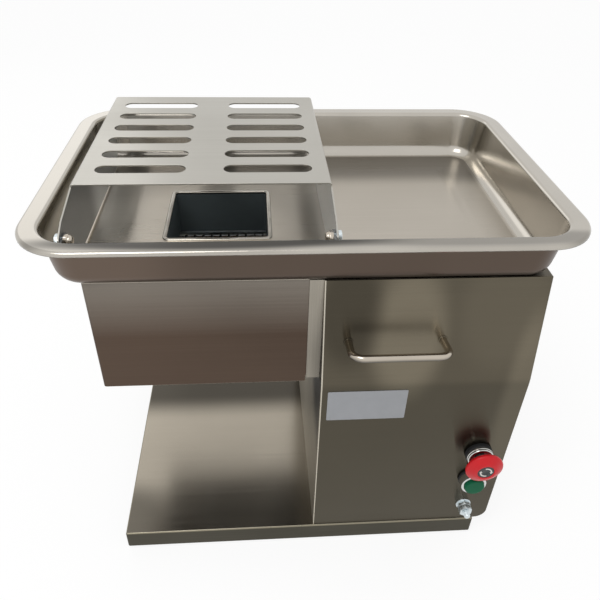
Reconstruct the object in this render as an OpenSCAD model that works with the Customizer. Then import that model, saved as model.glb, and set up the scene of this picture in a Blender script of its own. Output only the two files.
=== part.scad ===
// Counter-top meat slicer: two meshing blade stacks under a loading tray, driven from a side housing.
// Millimetres. Origin on the ground under the middle of the base, front towards -Y, +Z up.

/* [Base] */
// Width of the base pan
base_w = 408; // [360:1:460]
// Depth of the base pan
base_d = 310; // [290:1:345]
// Height of the base pan's folded lip
base_h = 24; // [18:1:40]
// Height of the lip above the ground
foot_drop = 3; // [2:0.5:12]
// Radius of a rubber foot
foot_r = 14; // [8:1:20]
// Distance of a foot's axis from the pan's edges
foot_inset = 34; // [24:1:45]

/* [Housing] */
// Gauge of the folded steel sheet
sheet = 1.5; // [1:0.1:2.5]
// Distance of the housing's left wall from the base's left edge
housing_x = 216; // [200:1:235]
// Width of the housing
housing_w = 206; // [185:1:240]
// Set-back of the housing from the base's front and back edges
housing_setback = 2; // [0:0.5:8]
// Height of the upright lower front
lower_h = 223; // [200:1:260]
// Height of the leaning upper front
upper_h = 112; // [100:1:140]
// How far the upper front leans back over its height
upper_lean = 18; // [5:1:24]
// Radius of the housing's lower right fold
fold_r = 13; // [6:1:20]
// Width of the flanges that carry the rear cover
rear_flange = 14; // [10:1:20]
// Radius of a cover screw's shank
cover_screw_r = 2; // [1.5:0.1:2.5]
// Thickness of a cover screw's head
cover_head_t = 2.2; // [1.5:0.1:4]
// Margin of a cover screw's head over its shank
cover_head_lip = 2; // [1:0.1:3]
// Length of a cover screw inside the cover
cover_screw_l = 8; // [5:1:15]
// Distance of the end cover screws from the housing's floor and top
cover_screw_in = 30; // [20:1:50]
// Radius of a housing bolt's shank
housing_bolt_r = 3; // [2:0.5:4]
// Height of a housing bolt's head
housing_bolt_t = 4; // [2:0.5:6]
// Margin of a housing bolt's head over its shank
housing_bolt_lip = 2.7; // [2:0.1:3.5]
// Length of a housing bolt below the base plate
housing_bolt_l = 12; // [6:1:17]
// Distance of the left housing bolts from the housing's left wall
bolt_in = 30; // [15:1:33]
// Distance of the right housing bolts from the base's right edge
bolt_edge = 22; // [15:1:40]
// Distance of the housing bolts from the base's front and back edges
bolt_depth = 74; // [64:1:84]
// Number of vent slots in the rear cover
vent_count = 7; // [3:1:9]
// Length of a vent slot
vent_l = 92; // [60:1:120]
// Width of a vent slot
vent_w = 5; // [3:0.5:8]
// Pitch of the vent slots
vent_pitch = 14; // [10:0.5:18]
// Height of the lowest vent slot above the base plate
vent_up = 111.5; // [100:0.5:130]
// Radius of the cable gland's thread
gland_r = 8; // [7:0.5:10]
// Radius of the bore through the cable gland
gland_bore_r = 4.5; // [3:0.5:6]
// How far the gland stands out of the rear cover
gland_out = 14; // [10:1:20]
// How far the gland reaches behind the rear cover's inner face
gland_inside = 10; // [8:1:15]
// Thickness of the gland's hexagon
gland_hex_t = 6; // [4:0.5:8]
// Thickness of the gland's nut
gland_nut_t = 5; // [3:0.5:7]
// Margin of the gland's hexagon and nut over its thread
gland_lip = 3.5; // [2:0.5:5]
// Height of the gland above the base plate
gland_up = 40; // [25:1:60]
// Distance of the gland from the housing's right wall
gland_in = 51.5; // [30:0.5:80]

/* [Handle and plate] */
// Distance between the handle's legs
handle_w = 89; // [70:1:120]
// Radius of the handle's rod
handle_r = 3.6; // [3:0.1:6]
// Distance of the handle's rod from the panel, centre line
handle_reach = 28; // [25:1:45]
// Bend radius of the handle, centre line
handle_bend = 11; // [8:1:20]
// Distance of the left leg from the housing's left edge
handle_x = 24; // [15:1:50]
// Height of the legs above the front bend, along the panel
handle_up = 49.5; // [30:0.5:80]
// Step from the handle's rod to the studs at its ends
handle_neck = 0.6; // [0.3:0.1:1]
// Length of a handle stud behind the panel's face
handle_stud_l = 8; // [6:0.5:12]
// Margin of a handle washer over the rod
handle_washer_lip = 1.4; // [1:0.1:6]
// Thickness of a handle washer
handle_washer_t = 1; // [0.8:0.1:3]
// Margin of a handle nut over its stud
handle_nut_lip = 3.5; // [2.5:0.1:5]
// Thickness of a handle nut
handle_nut_t = 4; // [3:0.5:6]
// Width of the rating plate
plate_w = 79; // [50:1:100]
// Height of the rating plate
plate_h = 39; // [25:1:60]
// Thickness of the rating plate
plate_t = 0.5; // [0.3:0.1:1.5]
// Distance of the rating plate from the housing's left edge
plate_x = 7; // [3:1:30]
// Distance of the rating plate below the front bend
plate_down = 6.5; // [3:0.5:30]

/* [Controls] */
// Distance of the controls from the housing's right edge
control_inset = 31; // [26:1:50]
// Height of the emergency stop above the base plate
estop_up = 119; // [112:1:160]
// Height of the start button above the base plate
start_up = 77; // [62:1:85]
// Height of the earth stud above the base plate
earth_up = 28.5; // [18:0.5:34]
// Radius of the mounting barrel of both buttons
barrel_r = 11; // [9:0.5:12]
// Length of a barrel behind the panel's face
barrel_l = 18; // [14:1:24]
// Margin of a barrel nut over the barrel
barrel_nut_lip = 4; // [2:0.5:5]
// Thickness of a barrel nut
barrel_nut_t = 4; // [3:0.5:6]
// Margin of the sealing rings over the barrel
gasket_lip = 3.6; // [3:0.1:5]
// How far the chrome collars stand back from the sealing rings
collar_in = 0.6; // [0.2:0.1:1.5]
// Thickness of the emergency stop's sealing ring
estop_gasket_t = 5; // [2:0.5:7]
// Length of the emergency stop's collar
collar_t = 5; // [4:0.5:12]
// Radius of the mushroom head
mushroom_r = 20; // [18:0.5:24]
// Length of the mushroom head
head_l = 12.5; // [11:0.5:20]
// Radius of the mushroom head's edge
head_edge = 3; // [2:0.5:4]
// Distance of the mushroom head's widest part from its back
head_mid = 6; // [5:0.5:8]
// How far the head's back draws in from its edge
head_taper = 6; // [4:0.5:8]
// How far the head's flat face draws in from its edge
head_dome = 8.5; // [6:0.5:9]
// Radius of the recess in the head's face
recess_r = 8.8; // [6:0.2:9]
// Depth of the recess in the head's face
recess_d = 1; // [0.5:0.1:2]
// Press travel of the emergency stop
estop_travel = 4; // [2:0.5:5]
// Gap left behind a button at the end of its travel
press_room = 1; // [0.5:0.1:2]
// Radius of a button's stem
stem_r = 5; // [4:0.5:6]
// Thickness of the start button's sealing ring
start_gasket_t = 3; // [2:0.5:5]
// Length of the start button's bezel
bezel_t = 9; // [8:0.5:12]
// Thickness of the bezel behind the start button's cap
bezel_floor = 1; // [0.8:0.1:2]
// How much less than the barrel the start button's cap is
cap_in = 0.2; // [0.1:0.1:1]
// How far the start button's cap stands proud of its bezel
cap_proud = 3.5; // [0.5:0.1:5]
// Press travel of the start button
start_travel = 3; // [2:0.5:4]
// Side of a square switch block
contact_w = 28; // [24:1:34]
// Depth of a switch block
contact_l = 24; // [18:1:34]
// Depth of the stem's hole in a switch block
contact_hole = 10; // [8:1:14]
// Radius of the earth stud
earth_r = 4; // [3:0.5:5]
// Reach of the earth stud in front of the panel
earth_reach = 19; // [16:1:24]
// Length of the earth stud behind the panel
earth_back = 8; // [6:1:14]
// How much the earth stud's free end draws in, radius
earth_tip_in = 0.5; // [0.3:0.05:0.8]
// Gap between the outer earth nut and the stud's free end
earth_tip_gap = 1; // [0.5:0.1:2]
// Margin of the earth washer over the stud
earth_washer_lip = 4.6; // [3:0.1:7]
// Thickness of the earth washer
earth_washer_t = 1.6; // [1:0.1:3]
// Margin of an earth nut over the stud
earth_nut_lip = 3.5; // [2:0.1:4]
// Thickness of an earth nut
earth_nut_t = 5.1; // [3:0.1:6]
// Gap between the two earth nuts in front of the panel
earth_nut_gap = 0.4; // [0.3:0.1:1]

/* [Tray] */
// Width of the tray over its rim
tray_w = 485; // [460:1:540]
// Depth of the tray over its rim, front to back
tray_d = 325; // [310:1:380]
// Height of the tray from its underside to its rim
tray_h = 50; // [40:1:70]
// Gauge of the tray's sheet
tray_t = 1.5; // [1:0.1:2]
// Shift of the tray to the left of the base's middle
tray_left = 0.5; // [0:0.5:15]
// Shift of the tray in front of the base's middle
tray_ahead = 2; // [0:1:10]
// Width of the flat rim
rim_w = 18; // [14:1:24]
// Height of the rim's turned-down edge
rim_drop = 4; // [3.5:0.5:12]
// Radius of the rim's rolled outer edge
roll_r = 3; // [2:0.5:3.5]
// Radius between the rim and the tray's wall
lip_r = 4; // [3:0.5:6]
// Slope of the tray's walls from upright
wall_slope = 10; // [4:1:16]
// Radius between the tray's wall and floor
floor_fillet = 14; // [8:1:18]
// Radius of the floor's corners inside the fillet
floor_corner_r = 12; // [2:1:15]
// Width of the gutter round the raised floor
gutter_w = 24; // [16:1:32]
// Height of the raised floor above the gutter
floor_step = 3; // [1:0.5:5]

/* [Feed] */
// Width of the feed opening
feed_w = 95; // [80:5:110]
// Depth of the feed opening, front to back
feed_d = 95; // [80:1:110]
// Distance of the feed opening from the housing's left wall
feed_in = 48; // [40:0.5:60]
// Distance of the feed opening's middle behind the base's front edge
feed_y = 135; // [130:1:165]
// Gauge of the throat's sheet
throat_t = 1.5; // [1:0.1:2]
// Width of the throat's flange on the tray floor
throat_lip = 3; // [2:0.5:10]
// Depth of the throat below the raised floor
throat_drop = 45; // [38:1:50]
// Gap between the throat's lower edge and the blades' tops
throat_gap = 2; // [1:0.5:6]

/* [Guard] */
// Width of the hand guard
guard_w = 227; // [210:1:250]
// Depth of the guard's slotted plate
guard_d = 230; // [215:1:250]
// Gauge of the guard's sheet
guard_t = 1.5; // [1:0.1:2.5]
// Height of the guard's plate above the tray rim
guard_rise = 17; // [15:1:40]
// Distance of the guard's plate behind the hinge
guard_set = 51; // [45:1:70]
// Depth of the flanges' front corners below the plate
guard_nose = 13; // [6:1:16]
// Gap between the flanges and the tray's back rim
guard_over = 1.5; // [1:0.1:4]
// Distance of the flanges' step in front of the tray's back rim
guard_step = 8; // [4:1:16]
// Distance of the hinge behind the tray's front edge
hinge_in = 33; // [30:1:45]
// Depth of the hinge below the tray rim
hinge_down = 8; // [6:0.5:14]
// Radius of the hinge bolts
hinge_r = 3; // [2:0.5:4]
// Radius of the flanges' ears round the hinge bolts
ear_r = 8; // [7:0.5:10]
// Distance from an ear to the flange's lower front corner
ear_run = 12; // [6:1:20]
// Thickness of a hinge bracket
bracket_t = 2; // [1.5:0.1:3]
// Height of a bracket above the hinge
bracket_up = 3; // [2:0.5:5]
// Depth of a bracket below the hinge
bracket_h = 10; // [6:0.5:14]
// Margin of the hinge bolts' heads and nuts over the bolts
bolt_lip = 2.7; // [2:0.1:3.5]
// Thickness of a hinge bolt's head
bolt_head_t = 3; // [2:0.5:5]
// Length of a cap nut
nut_t = 7; // [6:0.5:10]
// Margin of a cap nut's round end over its bolt
nut_cap_lip = 1.65; // [1:0.05:2]
// Thickness of a cap nut's closed end
nut_end = 1; // [0.5:0.1:2]
// Distance of the guard's left flange from the tray's left edge
guard_x = 37; // [34:1:60]
// Rows of slots in the guard
slot_rows = 6; // [3:1:6]
// Pitch of the slot rows
slot_pitch = 34; // [25:0.5:39]
// Length of a slot
slot_len = 81; // [50:1:90]
// Width of a slot
slot_w = 17; // [10:0.5:20]
// Distance of the slot columns' middles from the guard's middle
slot_off = 57.5; // [50:0.5:62]
// Shift of the slots behind the plate's middle
slot_back = 1; // [0:0.5:6]

/* [Hood] */
// Distance of the hood's left wall from the base's left edge
hood_x = 6; // [2:0.5:15]
// Gap between the blade cassette and the hood's front and back walls
hood_room = 11; // [8:0.5:28]
// Height of the hood
hood_h = 123; // [112:1:140]
// Gap between the hood's open side and the housing
hood_gap = 3; // [2:0.5:6]
// Width of a guide channel's lips
guide_w = 10; // [6:0.5:14]
// Height of the guides' lower ends above the hood's lower edge
guide_up = 8; // [4:0.5:15]

/* [Blades] */
// Number of blades on each shaft
blade_count = 10; // [6:1:12]
// Radius of a blade
blade_r = 36; // [34:0.5:40]
// Thickness of a blade
blade_t = 1.6; // [1.2:0.1:2.5]
// Side gap between a pair of meshing blades
shear_gap = 0.4; // [0.3:0.05:0.6]
// Radius of a blade shaft
shaft_r = 12.5; // [10:0.5:14]
// Length of a shaft's end past its nut
shaft_end = 2; // [1:0.5:4]
// Margin of a shaft nut over its shaft
shaft_nut_lip = 5.6; // [4:0.1:7]
// Thickness of a shaft nut
shaft_nut_t = 8; // [6:0.5:12]
// Radius of the spacers between blades
spacer_r = 20; // [17:0.5:23]
// Thickness of the cassette's side plates
cassette_t = 8; // [6:0.5:10]
// Gap between the feed opening and the cassette's plates
cassette_gap = 6; // [4:0.5:9]
// Margin of the cassette's plates past the blades, front and back
cassette_margin = 30; // [24:0.5:36]
// Margin of the cassette's plates above and below the blades
cassette_over = 1; // [0.5:0.5:4]
// End play between the rotors and the cassette's plates
end_gap = 1; // [0.5:0.1:2]
// Wall of the bushes in the cassette's plates
bush_t = 3.5; // [2:0.5:6]
// Radius of the studs that carry the cassette
stud_r = 5; // [4:0.5:6]
// Gap between the studs and the blades' edges, front and back
stud_clear = 3; // [2:0.5:5]
// Height of the studs above the shafts
stud_up = 20; // [10:1:30]
// Margin of a stud's shoulder over the stud
shoulder_lip = 3; // [2:0.5:4]
// Radius of a clamping knob
knob_r = 14; // [10:0.5:16]
// Length of a clamping knob
knob_t = 18; // [14:1:22]
// Thickness of a clamping knob's closed end
knob_end = 4; // [2:0.5:6]
// Width of a comb's fingers
comb_w = 4; // [3:0.5:5]
// Height of a comb's fingers
comb_h = 4; // [3:0.5:6]
// Side of a comb's bar
comb_bar = 8; // [6:0.5:10]
// Gap between a comb's fingers and the spacers
comb_gap = 2; // [1:0.5:4]
// Gap between a comb's bar and the blades' edges
comb_clear = 3; // [2:0.5:5]
// Distance of the fingers' tips outside the shafts' axes
comb_tip = 5; // [2:0.5:10]

/* [Drive] */
// Gear module
gear_m = 2; // [1.8:0.05:2.2]
// Teeth on a shaft gear
gear_teeth = 33; // [31:1:35]
// Teeth on the drive pinion
pinion_teeth = 17; // [15:1:20]
// Width of the gears
gear_face = 18; // [10:1:22]
// Thinning of the teeth for running play
gear_play = 0.12; // [0.08:0.01:0.2]
// Gap between the housing's left wall and the gears
gear_gap = 8.5; // [4:0.5:12]
// Gap between the gears and the gear plate
gear_plate_gap = 12; // [8:1:16]
// Thickness of the gear plate
gear_plate_t = 12; // [8:1:16]
// Margin of the gear plate past the studs, front and back
gear_plate_lip = 16; // [12:1:20]
// Height of the gear plate's top above the shafts
gear_plate_up = 45; // [40:1:50]
// Outer radius of a shaft bearing
bearing_r = 23.5; // [20:0.5:26]
// Length of a bearing flange outside the housing's left wall
flange_t = 18; // [14:1:21]
// Margin of a bearing flange over its bearing
flange_lip = 5.5; // [4:0.5:6]
// Thickness of a lip seal
seal_t = 3; // [2:0.5:5]
// Wall of a lip seal
seal_lip = 5.5; // [4:0.5:8]
// Clearance of the shafts in the housing's left wall
wall_clear = 2; // [1:0.5:4]
// Radius of the gear plate's stand-offs
standoff_r = 7; // [5:0.5:9]
// Depth of the lower stand-offs below the shafts
standoff_low = 110; // [90:1:120]
// Height of the upper stand-offs above the shafts
standoff_high = 30; // [20:1:36]
// Radius of the pinion's shaft
pinion_shaft_r = 8; // [6:0.5:10]
// Length of the pinion's shaft inside the gearbox
pinion_seat = 10; // [6:1:16]
// Clearance of the pinion's shaft in the gear plate
pinion_clear = 4; // [2:0.5:6]
// Radius of the motor
motor_r = 50; // [40:1:56]
// Gap between the motor's end and the housing's right wall
motor_end = 14.5; // [8:0.5:30]
// Length of the gearbox
gearbox_l = 50; // [40:1:60]
// Side of the square gearbox
gearbox_w = 96; // [70:1:110]
// Radius of the run capacitor
capacitor_r = 20; // [15:1:24]
// Height of the run capacitor
capacitor_h = 75; // [50:1:85]
// Distance of the run capacitor's axis from the housing's right edge
capacitor_in = 40; // [30:1:55]
// Width of the contactor
contactor_w = 46; // [35:1:55]
// Depth of the contactor, front to back
contactor_d = 72; // [50:1:80]
// Height of the contactor
contactor_h = 78; // [50:1:85]
// Gap between the gear plate and the contactor
contactor_x = 15; // [8:1:25]
// Distance of the contactor's front in front of the front shaft's axis
contactor_y = 40; // [20:1:50]

/* [Clearances] */
// Radial clearance of a running fit
fit = 0.05; // [0.01:0.01:0.1]
// Gap between pieces that pass each other
gap = 0.3; // [0.3:0.05:0.5]

/* [Hidden] */
$fn = 96;

// Reach of a cut that passes clean through, and overlap of solids that are joined
far = 1000;
cut = 1;
eps = 0.01;
// Pressure angle of the gears
pressure = 20;

// Base and housing planes
base_l = -base_w / 2;
base_f = -base_d / 2;
pan_z = foot_drop + base_h;
box_l = base_l + housing_x;
box_r = box_l + housing_w;
box_f = base_f + housing_setback;
box_b = base_d / 2 - housing_setback;
bend_z = pan_z + lower_h;
top_z = bend_z + upper_h;
top_f = box_f + upper_lean;
lean = atan2(upper_lean, upper_h);

// Rear of the housing
cover_screw_zs = [pan_z + cover_screw_in, (pan_z + top_z) / 2, top_z - cover_screw_in];
gland_x = box_r - gland_in;
gland_z = pan_z + gland_up;

// Handle
handle_stud_r = handle_r - handle_neck;

// Controls
control_x = box_r - control_inset;
estop_z = pan_z + estop_up;
start_z = pan_z + start_up;
earth_z = pan_z + earth_up;
gasket_r = barrel_r + gasket_lip;
collar_r = gasket_r - collar_in;
head_back = estop_gasket_t + collar_t + estop_travel + press_room;
pocket_z = start_gasket_t + bezel_floor;
cap_r = barrel_r - cap_in;
cap_z = pocket_z + start_travel + press_room;
stem_end = barrel_l + press_room;

// Tray planes and section
tray_l = -tray_left - tray_w / 2;
tray_f = -tray_ahead - tray_d / 2;
tray_r = tray_l + tray_w;
tray_b = tray_f + tray_d;
rim_z = top_z + tray_h;
lip_c = [rim_w - lip_r, -lip_r];
fillet_z = tray_t + floor_fillet - tray_h;
wall_n = [cos(wall_slope), sin(wall_slope)];
wall_dir = [sin(wall_slope), -cos(wall_slope)];
wall_top = lip_c + lip_r * wall_n;
wall_len = (wall_top[1] - fillet_z + floor_fillet * wall_n[1]) / cos(wall_slope);
fillet_c = wall_top + wall_len * wall_dir + floor_fillet * wall_n;
floor_in = fillet_c[0];
corner_r = floor_in + floor_corner_r;
raised_in = floor_in + gutter_w;
floor_z = top_z + floor_step + tray_t;

// Feed opening
feed_r = box_l - feed_in;
feed_l = feed_r - feed_w;
feed_c = base_f + feed_y;
throat_z = floor_z - throat_drop - tray_t;

// Guard
guard_l = tray_l + guard_x;
guard_r = guard_l + guard_w;
guard_z = rim_z + guard_rise;
hinge_y = tray_f + hinge_in;
hinge_z = rim_z - hinge_down;
plate_f = hinge_y + guard_set;
plate_b = plate_f + guard_d;
slot_first = (guard_d - slot_pitch * (slot_rows - 1)) / 2 + slot_back;
hinge_head_r = hinge_r + bolt_lip;
// Angle at which the flanges' front edges leave the ears
ear_top = 143;

// Blades and drive
pitch = feed_w / blade_count;
blade_off = (pitch - 2 * blade_t - shear_gap) / 2;
rear_shift = blade_t + shear_gap;
shaft_gap = gear_m * gear_teeth;
front_y = feed_c - shaft_gap / 2;
rear_y = feed_c + shaft_gap / 2;
shaft_z = throat_z - throat_gap - blade_r;
blade_reach = shaft_gap / 2 + blade_r;
cass_l = feed_l - cassette_gap - cassette_t;
cass_r = feed_r + cassette_gap;
cass_half = blade_reach + cassette_margin;
cass_high = blade_r + cassette_over;
stud_y = blade_reach + stud_r + stud_clear;
knob_x = cass_l - knob_t;
bush_r = shaft_r + bush_t;
nut_x = cass_l - end_gap - shaft_nut_t;
flange_r = bearing_r + flange_lip;
seal_r = shaft_r + seal_lip;
gear_x = box_l + sheet + gear_gap;
gear_plate_x = gear_x + gear_face + gear_plate_gap;
rear_turn = 180 + 180 / gear_teeth;
pinion_z = shaft_z - gear_m * (gear_teeth + pinion_teeth) / 2;
gearbox_x = gear_plate_x + gear_plate_t;
motor_x = gearbox_x + gearbox_l;
motor_l = box_r - sheet - motor_end - motor_x;

// Hood
hood_l = base_l + hood_x;
hood_r = box_l - hood_gap;
hood_f = feed_c - cass_half - hood_room - sheet;
hood_b = feed_c + cass_half + hood_room + sheet;
hood_top = top_z - gap;
hood_low = hood_top - hood_h;

steel = [0.62, 0.6, 0.56];
dark_steel = [0.4, 0.4, 0.38];
bright = [0.82, 0.82, 0.8];
zinc = [0.75, 0.78, 0.8];
black = [0.1, 0.1, 0.1];

// A point on an arc round c
function arc_pt(c, r, a) = c + r * [cos(a), sin(a)];
// Points on an arc round c from angle a to angle b
function arc(c, r, a, b, n = 6) = [for (i = [0 : n]) arc_pt(c, r, a + (b - a) * i / n)];

// Involute of an angle, in degrees
function inv(a) = tan(a) * 180 / PI - a;
// Half angle of a tooth at radius r
function tooth_half(teeth, m, r) =
    let (rp = m * teeth / 2, rb = rp * cos(pressure), rr = max(r, rb), play = gear_play / rp * 180 / PI)
    90 / teeth - play + inv(pressure) - inv(acos(rb / rr));
// Outline of an involute gear with its first tooth on +X
function gear_pts(teeth, m) =
    let (rp = m * teeth / 2, radii = [rp - 1.25 * m, rp - 0.5 * m, rp, rp + 0.5 * m, rp + m], n = len(radii))
    [for (k = [0 : teeth - 1], j = [0 : 2 * n - 1])
        let (r = j < n ? radii[j] : radii[2 * n - 1 - j], h = tooth_half(teeth, m, r))
        arc_pt([0, 0], r, 360 * k / teeth + (j < n ? -h : h))];

// Extrudes an outline in Y and Z along X
module along_x(x, l) {
    translate([x, 0, 0]) rotate([90, 0, 90]) linear_extrude(l) children();
}

// Extrudes an outline in X and Z along Y
module along_y(y, l) {
    translate([0, y + l, 0]) rotate([90, 0, 0]) linear_extrude(l) children();
}

// Round bar along X at a place in Y and Z
module rod_x(x, l, r, y, z) {
    along_x(x, l) translate([y, z]) circle(r);
}

// Places children on the lower front, with +Z pointing out of it
module on_front(x, z) {
    translate([x, box_f, z]) rotate([90, 0, 0]) children();
}

// Places children on the leaning upper front, with +Z pointing out of it
module on_upper(x, up) {
    translate([x, box_f, bend_z]) rotate([-lean, 0, 0]) translate([0, 0, up]) rotate([90, 0, 0]) children();
}

// Ring standing on z = 0
module ring(r, bore, l) {
    difference() {
        cylinder(r = r, h = l);
        translate([0, 0, -cut]) cylinder(r = bore, h = l + 2 * cut);
    }
}

// Hexagon nut standing on z = 0, r across its corners
module hex_nut(r, bore, l) {
    difference() {
        cylinder(r = r, h = l, $fn = 6);
        translate([0, 0, -cut]) cylinder(r = bore, h = l + 2 * cut);
    }
}

// Slot with round ends, long way along X
module slot_2d(l, w) {
    square([l - w, w], center = true);
    for (s = [-1, 1]) translate([s * (l - w) / 2, 0]) circle(d = w);
}

// Places children at the four feet
module at_feet() {
    for (sx = [-1, 1], sy = [-1, 1])
        translate([sx * (base_w / 2 - foot_inset), sy * (base_d / 2 - foot_inset), 0]) children();
}

// Places children at the four housing bolts
module at_housing_bolts() {
    for (x = [box_l + bolt_in, base_w / 2 - bolt_edge], sy = [-1, 1])
        translate([x, sy * (base_d / 2 - bolt_depth), pan_z]) children();
}

// Folded base pan, open below
module base_pan() {
    color(steel) difference() {
        translate([base_l, base_f, foot_drop]) cube([base_w, base_d, base_h]);
        translate([base_l + sheet, base_f + sheet, foot_drop - cut])
            cube([base_w - 2 * sheet, base_d - 2 * sheet, base_h - sheet + cut]);
        at_housing_bolts() cylinder(r = housing_bolt_r + fit, h = 4 * sheet, center = true);
    }
}

// Four rubber feet under the pan
module rubber_feet() {
    color(black) at_feet() cylinder(r = foot_r, h = pan_z - sheet);
}

// Housing outline in X and Z, set in by d, with the lower right fold
module box_outline(d = 0) {
    r = max(fold_r - d, eps);
    translate([box_l + d, pan_z + d]) square([housing_w - 2 * d - r, top_z - pan_z - 2 * d]);
    translate([box_r - d - r, pan_z + d + r]) square([r, top_z - pan_z - 2 * d - r]);
    translate([box_r - d - r, pan_z + d + r]) circle(r);
}

// Outline in Y and Z of the front, from depth a to depth b behind the outer face
module front_outline(a, b) {
    polygon([
        [box_f + a, pan_z], [box_f + a, bend_z], [top_f + a, top_z],
        [top_f + b, top_z], [box_f + b, bend_z], [box_f + b, pan_z]
    ]);
}

// Holes in the front panel
module front_holes() {
    on_front(control_x, estop_z) cylinder(r = barrel_r + fit, h = 4 * sheet, center = true);
    on_front(control_x, start_z) cylinder(r = barrel_r + fit, h = 4 * sheet, center = true);
    on_front(control_x, earth_z) cylinder(r = earth_r + fit, h = 4 * sheet, center = true);
    for (s = [0, 1]) on_upper(box_l + handle_x + s * handle_w, handle_up)
        cylinder(r = handle_stud_r + fit, h = 6 * sheet, center = true);
}

// Bent front panel
module front_panel() {
    color(steel) difference() {
        intersection() {
            along_x(box_l, housing_w) front_outline(0, sheet);
            along_y(base_f, base_d) box_outline();
        }
        front_holes();
    }
}

// Left wall, floor and right wall folded from one sheet, with flanges for the rear cover
module housing_wrap() {
    h = top_z - pan_z;
    color(steel) difference() {
        union() {
            along_y(box_f, box_b - box_f) difference() {
                box_outline();
                box_outline(sheet);
                translate([box_l + sheet, top_z - 2 * sheet]) square([housing_w - 2 * sheet, 3 * sheet]);
            }
            for (x = [box_l, box_r - rear_flange])
                translate([x, box_b - sheet, pan_z + fold_r]) cube([rear_flange, sheet, h - fold_r - sheet]);
        }
        along_x(box_l - cut, housing_w + 2 * cut) front_outline(-far, sheet);
        translate([box_l - cut, box_f, top_z - sheet]) cube([housing_w + 2 * cut, base_d, 2 * sheet]);
        for (y = [front_y, rear_y]) rod_x(box_l - cut, sheet + 2 * cut, shaft_r + wall_clear, y, shaft_z);
        at_housing_bolts() cylinder(r = housing_bolt_r + fit, h = 4 * sheet, center = true);
        at_cover_screws() cylinder(r = cover_screw_r + fit, h = 4 * sheet, center = true);
    }
}

// Flat top of the housing, under the tray
module top_plate() {
    color(steel) difference() {
        translate([box_l, top_f, top_z - sheet]) cube([housing_w, box_b - top_f, sheet]);
        along_x(box_l - cut, housing_w + 2 * cut) front_outline(-far, sheet);
    }
}

// Places children at the rear cover's screws, with +Z pointing out of the cover
module at_cover_screws() {
    for (x = [box_l + rear_flange / 2, box_r - rear_flange / 2], z = cover_screw_zs)
        translate([x, box_b, z]) rotate([-90, 0, 0]) children();
}

// Removable rear cover with vent slots
module rear_cover() {
    color(steel) difference() {
        along_y(box_b, sheet) box_outline();
        along_y(box_b - cut, sheet + 2 * cut) for (i = [0 : vent_count - 1])
            translate([box_l + housing_w / 2, pan_z + vent_up + i * vent_pitch]) slot_2d(vent_l, vent_w);
        at_cover_screws() cylinder(r = cover_screw_r + fit, h = 4 * sheet, center = true);
        at_gland() cylinder(r = gland_r + fit, h = 4 * sheet, center = true);
    }
}

// Places children at the cable gland, with +Z pointing out of the rear cover
module at_gland() {
    translate([gland_x, box_b, gland_z]) rotate([-90, 0, 0]) children();
}

// Pan-head screws of the rear cover
module rear_cover_screws() {
    color(zinc) at_cover_screws() {
        translate([0, 0, sheet]) cylinder(r = cover_screw_r + cover_head_lip, h = cover_head_t);
        translate([0, 0, -cover_screw_l]) cylinder(r = cover_screw_r, h = cover_screw_l + sheet + eps);
    }
}

// Bolts that hold the housing's floor to the base pan
module housing_bolts() {
    color(zinc) at_housing_bolts() {
        translate([0, 0, sheet]) cylinder(r = housing_bolt_r + housing_bolt_lip, h = housing_bolt_t, $fn = 6);
        translate([0, 0, -housing_bolt_l]) cylinder(r = housing_bolt_r, h = housing_bolt_l + sheet + eps);
    }
}

// Half of the handle: stud, leg, bend and half of the grip
module handle_half() {
    leg_l = handle_reach - handle_bend;
    translate([0, 0, -handle_stud_l]) cylinder(r = handle_stud_r, h = handle_stud_l + eps);
    cylinder(r = handle_r, h = leg_l);
    translate([handle_bend, 0, leg_l]) rotate([90, 0, 0]) rotate([0, 0, 90]) rotate_extrude(angle = 90)
        translate([handle_bend, 0]) circle(handle_r);
    translate([handle_bend - eps, 0, handle_reach]) rotate([0, 90, 0])
        cylinder(r = handle_r, h = handle_w / 2 - handle_bend + eps);
}

// Bent rod handle on the upper front
module carry_handle() {
    color(bright) on_upper(box_l + handle_x + handle_w / 2, handle_up) {
        for (s = [0, 1]) mirror([s, 0, 0]) translate([-handle_w / 2, 0, 0]) handle_half();
    }
}

// Places children at the handle's legs
module at_handle() {
    for (s = [0, 1]) on_upper(box_l + handle_x + s * handle_w, handle_up) children();
}

// Round washers at the feet of the handle
module handle_washers() {
    color(bright) at_handle() ring(handle_r + handle_washer_lip, handle_r + fit, handle_washer_t);
}

// Nuts behind the panel on the handle's studs
module handle_nuts() {
    color(zinc) at_handle() translate([0, 0, -sheet - handle_nut_t])
        hex_nut(handle_stud_r + handle_nut_lip, handle_stud_r + fit, handle_nut_t);
}

// Plain rating plate under the bend
module rating_plate() {
    color([0.72, 0.72, 0.74]) on_front(box_l + plate_x, bend_z - plate_down - plate_h)
        cube([plate_w, plate_h, plate_t]);
}

// Threaded earth stud through the front panel, with a drawn-in free end
module earth_stud() {
    seat = earth_washer_t + 2 * earth_nut_t + earth_nut_gap + earth_tip_gap;
    color(zinc) on_front(control_x, earth_z) {
        translate([0, 0, -sheet - earth_back]) cylinder(r = earth_r, h = earth_back + sheet + seat);
        cylinder(r = earth_r - earth_tip_in, h = earth_reach);
    }
}

// Plain washer on the earth stud
module earth_washer() {
    color(zinc) on_front(control_x, earth_z) ring(earth_r + earth_washer_lip, earth_r + fit, earth_washer_t);
}

// Nuts on the earth stud, outside and inside the panel
module earth_nuts() {
    color(zinc) on_front(control_x, earth_z) {
        for (z = [earth_washer_t, earth_washer_t + earth_nut_t + earth_nut_gap, -sheet - earth_nut_t])
            translate([0, 0, z])
                hex_nut(earth_r + earth_nut_lip, earth_r + fit, earth_nut_t);
    }
}

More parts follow.
